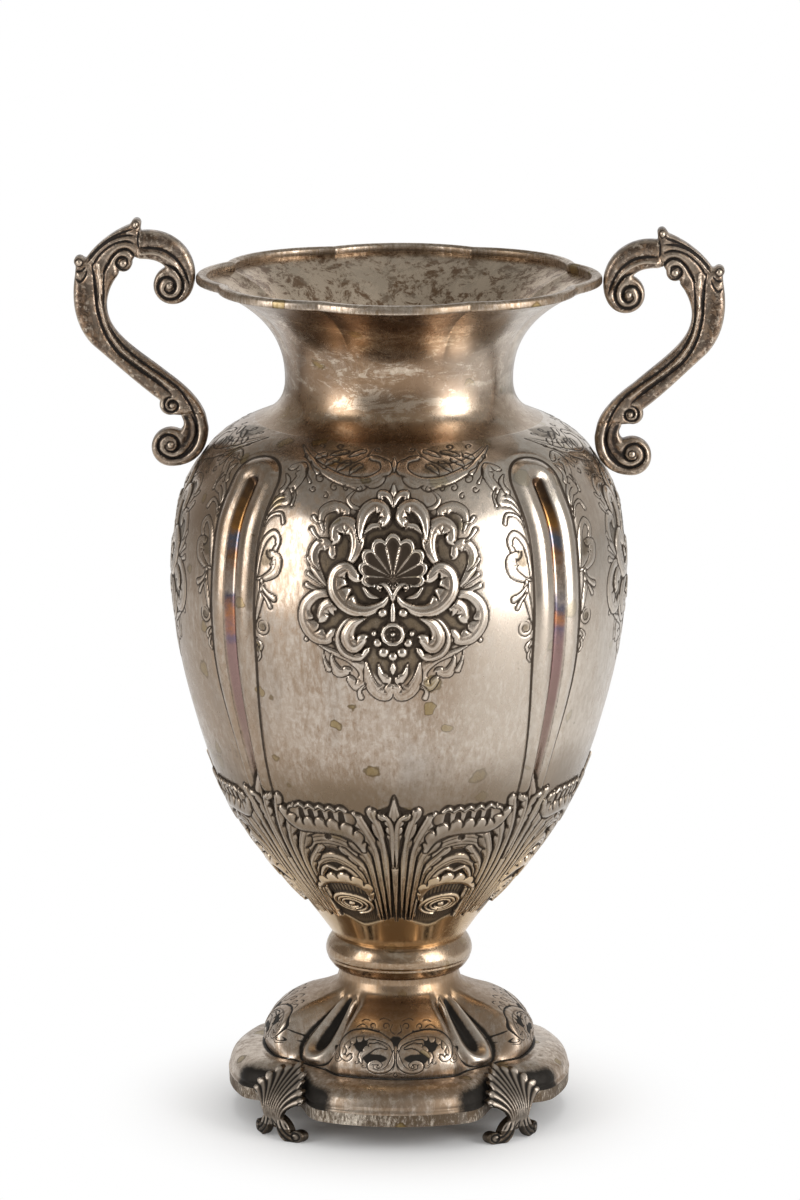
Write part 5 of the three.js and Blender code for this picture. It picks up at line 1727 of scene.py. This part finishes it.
def handleRelief(outlines, rimAt, shoulderAt):
    # the same drawing lies on both faces of the castings
    everything = np.concatenate(list(outlines.values()))
    low, high = everything.min(0) - 2, everything.max(0) + 2
    sheet = newSheet(low[0], high[0], low[1], high[1], 0.2)
    moved = shoulderAt - rimAt + handle["contactFall"]

    def toShoulder(places):
        # places from the rim's contact, moved with the lower end of the handle
        places = np.array(places, float)
        return rimAt + places + moved * np.clip(-places[:, 1:] / handle["bendFall"], 0, 1)

    # upper scroll: broad outer band, narrow inner band, and a volute of one and three quarter turns
    moulding(sheet, rimAt + [(24.3, 14.2), (15.4, 13.6), (9.4, 10.2), (5.4, 5.2), (2.9, -0.6), (2.5, -3)])
    moulding(sheet, rimAt + [(14.4, 6.8), (9.4, 5.2), (5.9, 0.8), (5.3, -4), (7.4, -8), (11.4, -9),
                             (15.2, -7.2), (16.4, -3.2), (14.4, 0.4), (11.2, 0.7), (9, -1.4), (8.9, -4.6),
                             (11, -6.3), (13.3, -5), (12.8, -2.8)], 0.55, 0.75)
    leaf(sheet, rimAt + [(24, 11.3), (18, 11.7), (12, 9.3), (7.2, 4.8), (4.2, -0.6)],
         (0.5, 0.6, 0.6, 0.5, 0.2), 0.5, veins=0, outline=0.1, ink=0.0)
    bead(sheet, rimAt + (11.3, -3.1), 1.5, 0.8, 0.6)
    # leaf: long folds from the tip, a small inner volute and a knob at the outer end
    for fold in (
            ((27.2, 22.6), (33, 20.6), (39.5, 17.2), (45, 12.4), (48.6, 8)),
            ((26.6, 19.6), (32, 19.4), (38, 17), (43.6, 12.6), (47.6, 7.4)),
            ((26.4, 15.8), (31, 17), (36.6, 15.4), (41.9, 11.2), (45.8, 5.6))):
        moulding(sheet, rimAt + fold, 0.45, 0.55, 1.1)
    moulding(sheet, rimAt + [(41, 2.2), (39, 6), (36.6, 10), (33.2, 13), (29.8, 13.2), (27, 10.4), (27, 6.6),
                             (29.4, 4), (32.8, 4.2), (34.8, 7), (33.4, 9.6), (30.4, 9.4), (29.8, 7)],
             0.5, 0.7, 1.1)
    bead(sheet, rimAt + (31.8, 7), 1.7, 0.8, 0.7)
    groove(sheet, rimAt + [(24.6, 22), (25.2, 18), (24.9, 14)], 0.5, 0.5, 0.9)
    bead(sheet, rimAt + (26.2, 24.6), 1.6, 0.6, 0.7)
    bead(sheet, rimAt + (51.6, 7.4), 1.7, 0.6, 0.8)
    moulding(sheet, rimAt + [(53.6, 3.4), (50.4, 3.6), (48.6, 5.4)], 0.4, 0.4, 0.8)
    moulding(sheet, rimAt + [(53.8, 0.4), (51, -1.2), (48.8, 1.2), (48, 4)], 0.4, 0.4, 0.8)
    # stem: broad band outside, a bright bead line, and a smooth flank inside
    moulding(sheet, toShoulder([(46, 7), (44.9, 1), (44.2, -5.7), (43.4, -14), (40.4, -24), (34.9, -32.6),
                                (26.7, -39.5), (18.3, -45.6), (12.4, -50.4), (10.6, -52.6)]), 0.55, 0.7, 1.6)
    moulding(sheet, toShoulder([(39.6, 6), (40.5, 0.6), (40.7, -5.7), (40.3, -14), (37.4, -22.6),
                                (32.2, -30), (24.5, -36.8), (16, -42.8), (8.6, -48.4), (4, -54), (1, -60),
                                (-0.4, -66), (0.6, -72), (4.4, -77.6), (9.4, -81.2)]), 0.45, 0.5, 1.1)
    leaf(sheet, toShoulder([(43, 7), (42.5, -1), (42.2, -9), (39.2, -22), (33.4, -31.2), (25.4, -38.2),
                            (17, -44.2), (10, -49.6)]), (0.5,) * 8, 0.5, veins=0, outline=0.1, ink=0.0)
    moulding(sheet, shoulderAt + spiralPoints((13.8, 21.3), 4.0, 95, -1.5, 0.3, 26), 0.4, 0.6, 0.8)
    bead(sheet, shoulderAt + (13.8, 21.3), 1.2, 0.7, 0.6)
    # lower scroll: a broad hollow that ends in a volute with a bead
    groove(sheet, shoulderAt + [(9, 17.4), (6.4, 13), (6, 8.6), (8, 4), (11.6, 1.4)], 2.2, 1.1, 0.35, 60)
    moulding(sheet, shoulderAt + [(6, 18.4), (3.4, 13), (2.8, 8), (4.6, 2.4), (9.4, -1.8), (15, -2.6),
                                  (19.6, 0.4), (19.8, 5), (16.4, 8), (12.4, 6.8), (11, 3.2), (13, 0.4),
                                  (16.4, 1), (17, 3.4)], 0.5, 0.7, 1.0)
    bead(sheet, shoulderAt + (14.6, 3.4), 1.6, 1.0, 0.8)
    patinaOf(sheet, 1.6, 0.9)
    return sheet


def makeHandle(name, side, drop):
    outlines, rimAt, shoulderAt = handleDrawing(drop)
    sheet = handleRelief(outlines, rimAt, shoulderAt)
    for part, outline in outlines.items():
        edgeRound = handle["leafEdgeRound"] if part == "leaf" else handle["edgeRound"]
        plate = filledOutline(outline, handle["thickness"], edgeRound)
        points, normals, faces = melted([plate], handle["voxel"] * coarse, 4)
        out, up, across = points.T
        facingSide = np.abs(normals[:, 2]) ** 1.5
        lift, dark, worn = (readSheet(sheet, layer, out, up) * facingSide
                            for layer in ("rise", "dark", "worn"))
        worn = worn + 0.7 * bump(np.abs(normals[:, 2]), 0.5, 0.4)
        across = across + np.sign(across) * lift
        spots = np.stack([side * out, -across, up], 1)
        if side < 0:
            faces = faces[:, ::-1]
        makePiece(f"casting_{name}_{part}", spots, [faces], silver["cast"],
                  [f"handle_{name}_{part}"], {"dark": dark, "worn": np.clip(worn, 0, 1)})


makeHandle("left", -1, 0)
makeHandle("right", 1, handle["rightDrop"])
print("handles made")

# The stage: a pale floor that runs out of sight, and soft light from both sides

stage = {
    "floorSize": 9000,
    "floorGrey": 0.9,
    "leftPower": 15,
    "rightPower": 27,
    "topPower": 15,
    "roomLight": 0.5,
    "paperReach": 1.7,  # metres of white paper in front of the vase, before the darker room
    "darkFront": (0.24, 0.23, 0.22),
    "ceiling": (0.34, 0.34, 0.33),
}


def lamp(name, size, power, spot, aim):
    data = bpy.data.lights.new(name, "AREA")
    data.shape = "RECTANGLE"
    data.size, data.size_y = size[0] * mm, size[1] * mm
    data.energy = power
    light = bpy.data.objects.new(name, data)
    light.location = [value * mm for value in spot]
    way = np.array(aim, float) - spot
    tilt = math.acos(-way[2] / np.linalg.norm(way))
    light.rotation_euler = (tilt, 0, math.atan2(way[0], -way[1]) + math.pi)
    bpy.context.scene.collection.objects.link(light)
    return light


def makeFloor():
    reach = stage["floorSize"] / 2
    corners = [(-reach, -reach, 0), (reach, -reach, 0), (reach, reach, 0), (-reach, reach, 0)]
    mesh = bpy.data.meshes.new("floor")
    mesh.from_pydata([[value * mm for value in corner] for corner in corners], [], [(0, 1, 2, 3)])
    floor = bpy.data.objects.new("floor", mesh)
    bpy.context.scene.collection.objects.link(floor)
    material = bpy.data.materials.new("floorPaper")
    material.use_nodes = True
    tree = material.node_tree
    shader = tree.nodes["Principled BSDF"]
    shader.inputs["Base Color"].default_value = (*[stage["floorGrey"]] * 3, 1)
    shader.inputs["Roughness"].default_value = 0.9
    # the paper fades into the white background away from the vase
    spot = objectSpot(tree)
    away = place(tree, "VectorMath", {0: spot}, operation="LENGTH").outputs["Value"]
    paths = place(tree, "LightPath")
    white = place(tree, "Emission", {"Color": (1, 1, 1, 1), "Strength": 1.0})
    fade = times(tree, rampOf(tree, away, 0.05, 0.145), paths.outputs["Is Camera Ray"])
    paper = place(tree, "MixShader", {0: fade, 1: shader.outputs[0], 2: white.outputs[0]})
    # the metal sees the paper end in front of the vase
    ended = rampOf(tree, axisOf(tree, spot, 1), -stage["paperReach"] * 0.55, -stage["paperReach"])
    ended = times(tree, ended, paths.outputs["Is Glossy Ray"])
    room = place(tree, "Emission", {"Color": (*stage["darkFront"], 1), "Strength": 1.0})
    mixed = place(tree, "MixShader", {0: ended, 1: paper.outputs[0], 2: room.outputs[0]})
    tree.links.new(mixed.outputs[0], tree.nodes["Material Output"].inputs["Surface"])
    mesh.materials.append(material)


def makeRoom():
    world = bpy.data.worlds.new("paleRoom")
    bpy.context.scene.world = world
    world.use_nodes = True
    tree = world.node_tree
    light = tree.nodes["Background"]
    light.inputs["Color"].default_value = (1, 0.99, 0.97, 1)
    light.inputs["Strength"].default_value = stage["roomLight"]
    # the metal sees a white backdrop behind the vase, grey walls beside it and a dark room in front
    way = place(tree, "SeparateXYZ", {0: place(tree, "TexCoord").outputs["Generated"]}).outputs
    fromFront = times(tree, plus(tree, way[1], 1.0), 0.5)
    around = tonesOf(tree, fromFront, (
        (0.0, stage["darkFront"]), (0.08, stage["darkFront"]), (0.16, (0.6, 0.58, 0.56)),
        (0.42, (0.55, 0.53, 0.5)), (0.55, (0.3, 0.27, 0.24)), (0.84, (0.42, 0.39, 0.36)), (0.95, (1, 1, 1))))
    rightward = rampOf(tree, way[0], -0.6, 0.6, 0.0, 0.35)
    walls = blend(tree, rightward, around, (0.9, 0.88, 0.85))
    ceiling = rampOf(tree, way[2], 0.42, 0.6)
    above = blend(tree, rightward, stage["ceiling"], (0.9, 0.92, 0.92))
    tone = blend(tree, ceiling, walls, above)
    paths = place(tree, "LightPath")
    tone = blend(tree, paths.outputs["Is Camera Ray"], tone, (1.0, 1.0, 1.0))
    backdrop = place(tree, "Background", {"Color": tone, "Strength": 1.0})
    seen = mathOf(tree, "MAXIMUM", paths.outputs["Is Camera Ray"], paths.outputs["Is Glossy Ray"])
    mixed = place(tree, "MixShader", {0: seen, 1: light.outputs[0], 2: backdrop.outputs[0]})
    tree.links.new(mixed.outputs[0], tree.nodes["World Output"].inputs["Surface"])


makeFloor()
makeRoom()
lamp("leftSoftbox", (850, 1560), stage["leftPower"], (-1500, -950, 760), (0, 0, 760))
lamp("rightSoftbox", (950, 1560), stage["rightPower"], (1500, -900, 760), (0, 0, 760))
overhead = lamp("topSoftbox", (1000, 1000), stage["topPower"], (0, 300, 1900), (0, 0, 200))
overhead.visible_glossy = False  # it lights the paper but is not mirrored in the silver
print("stage set")
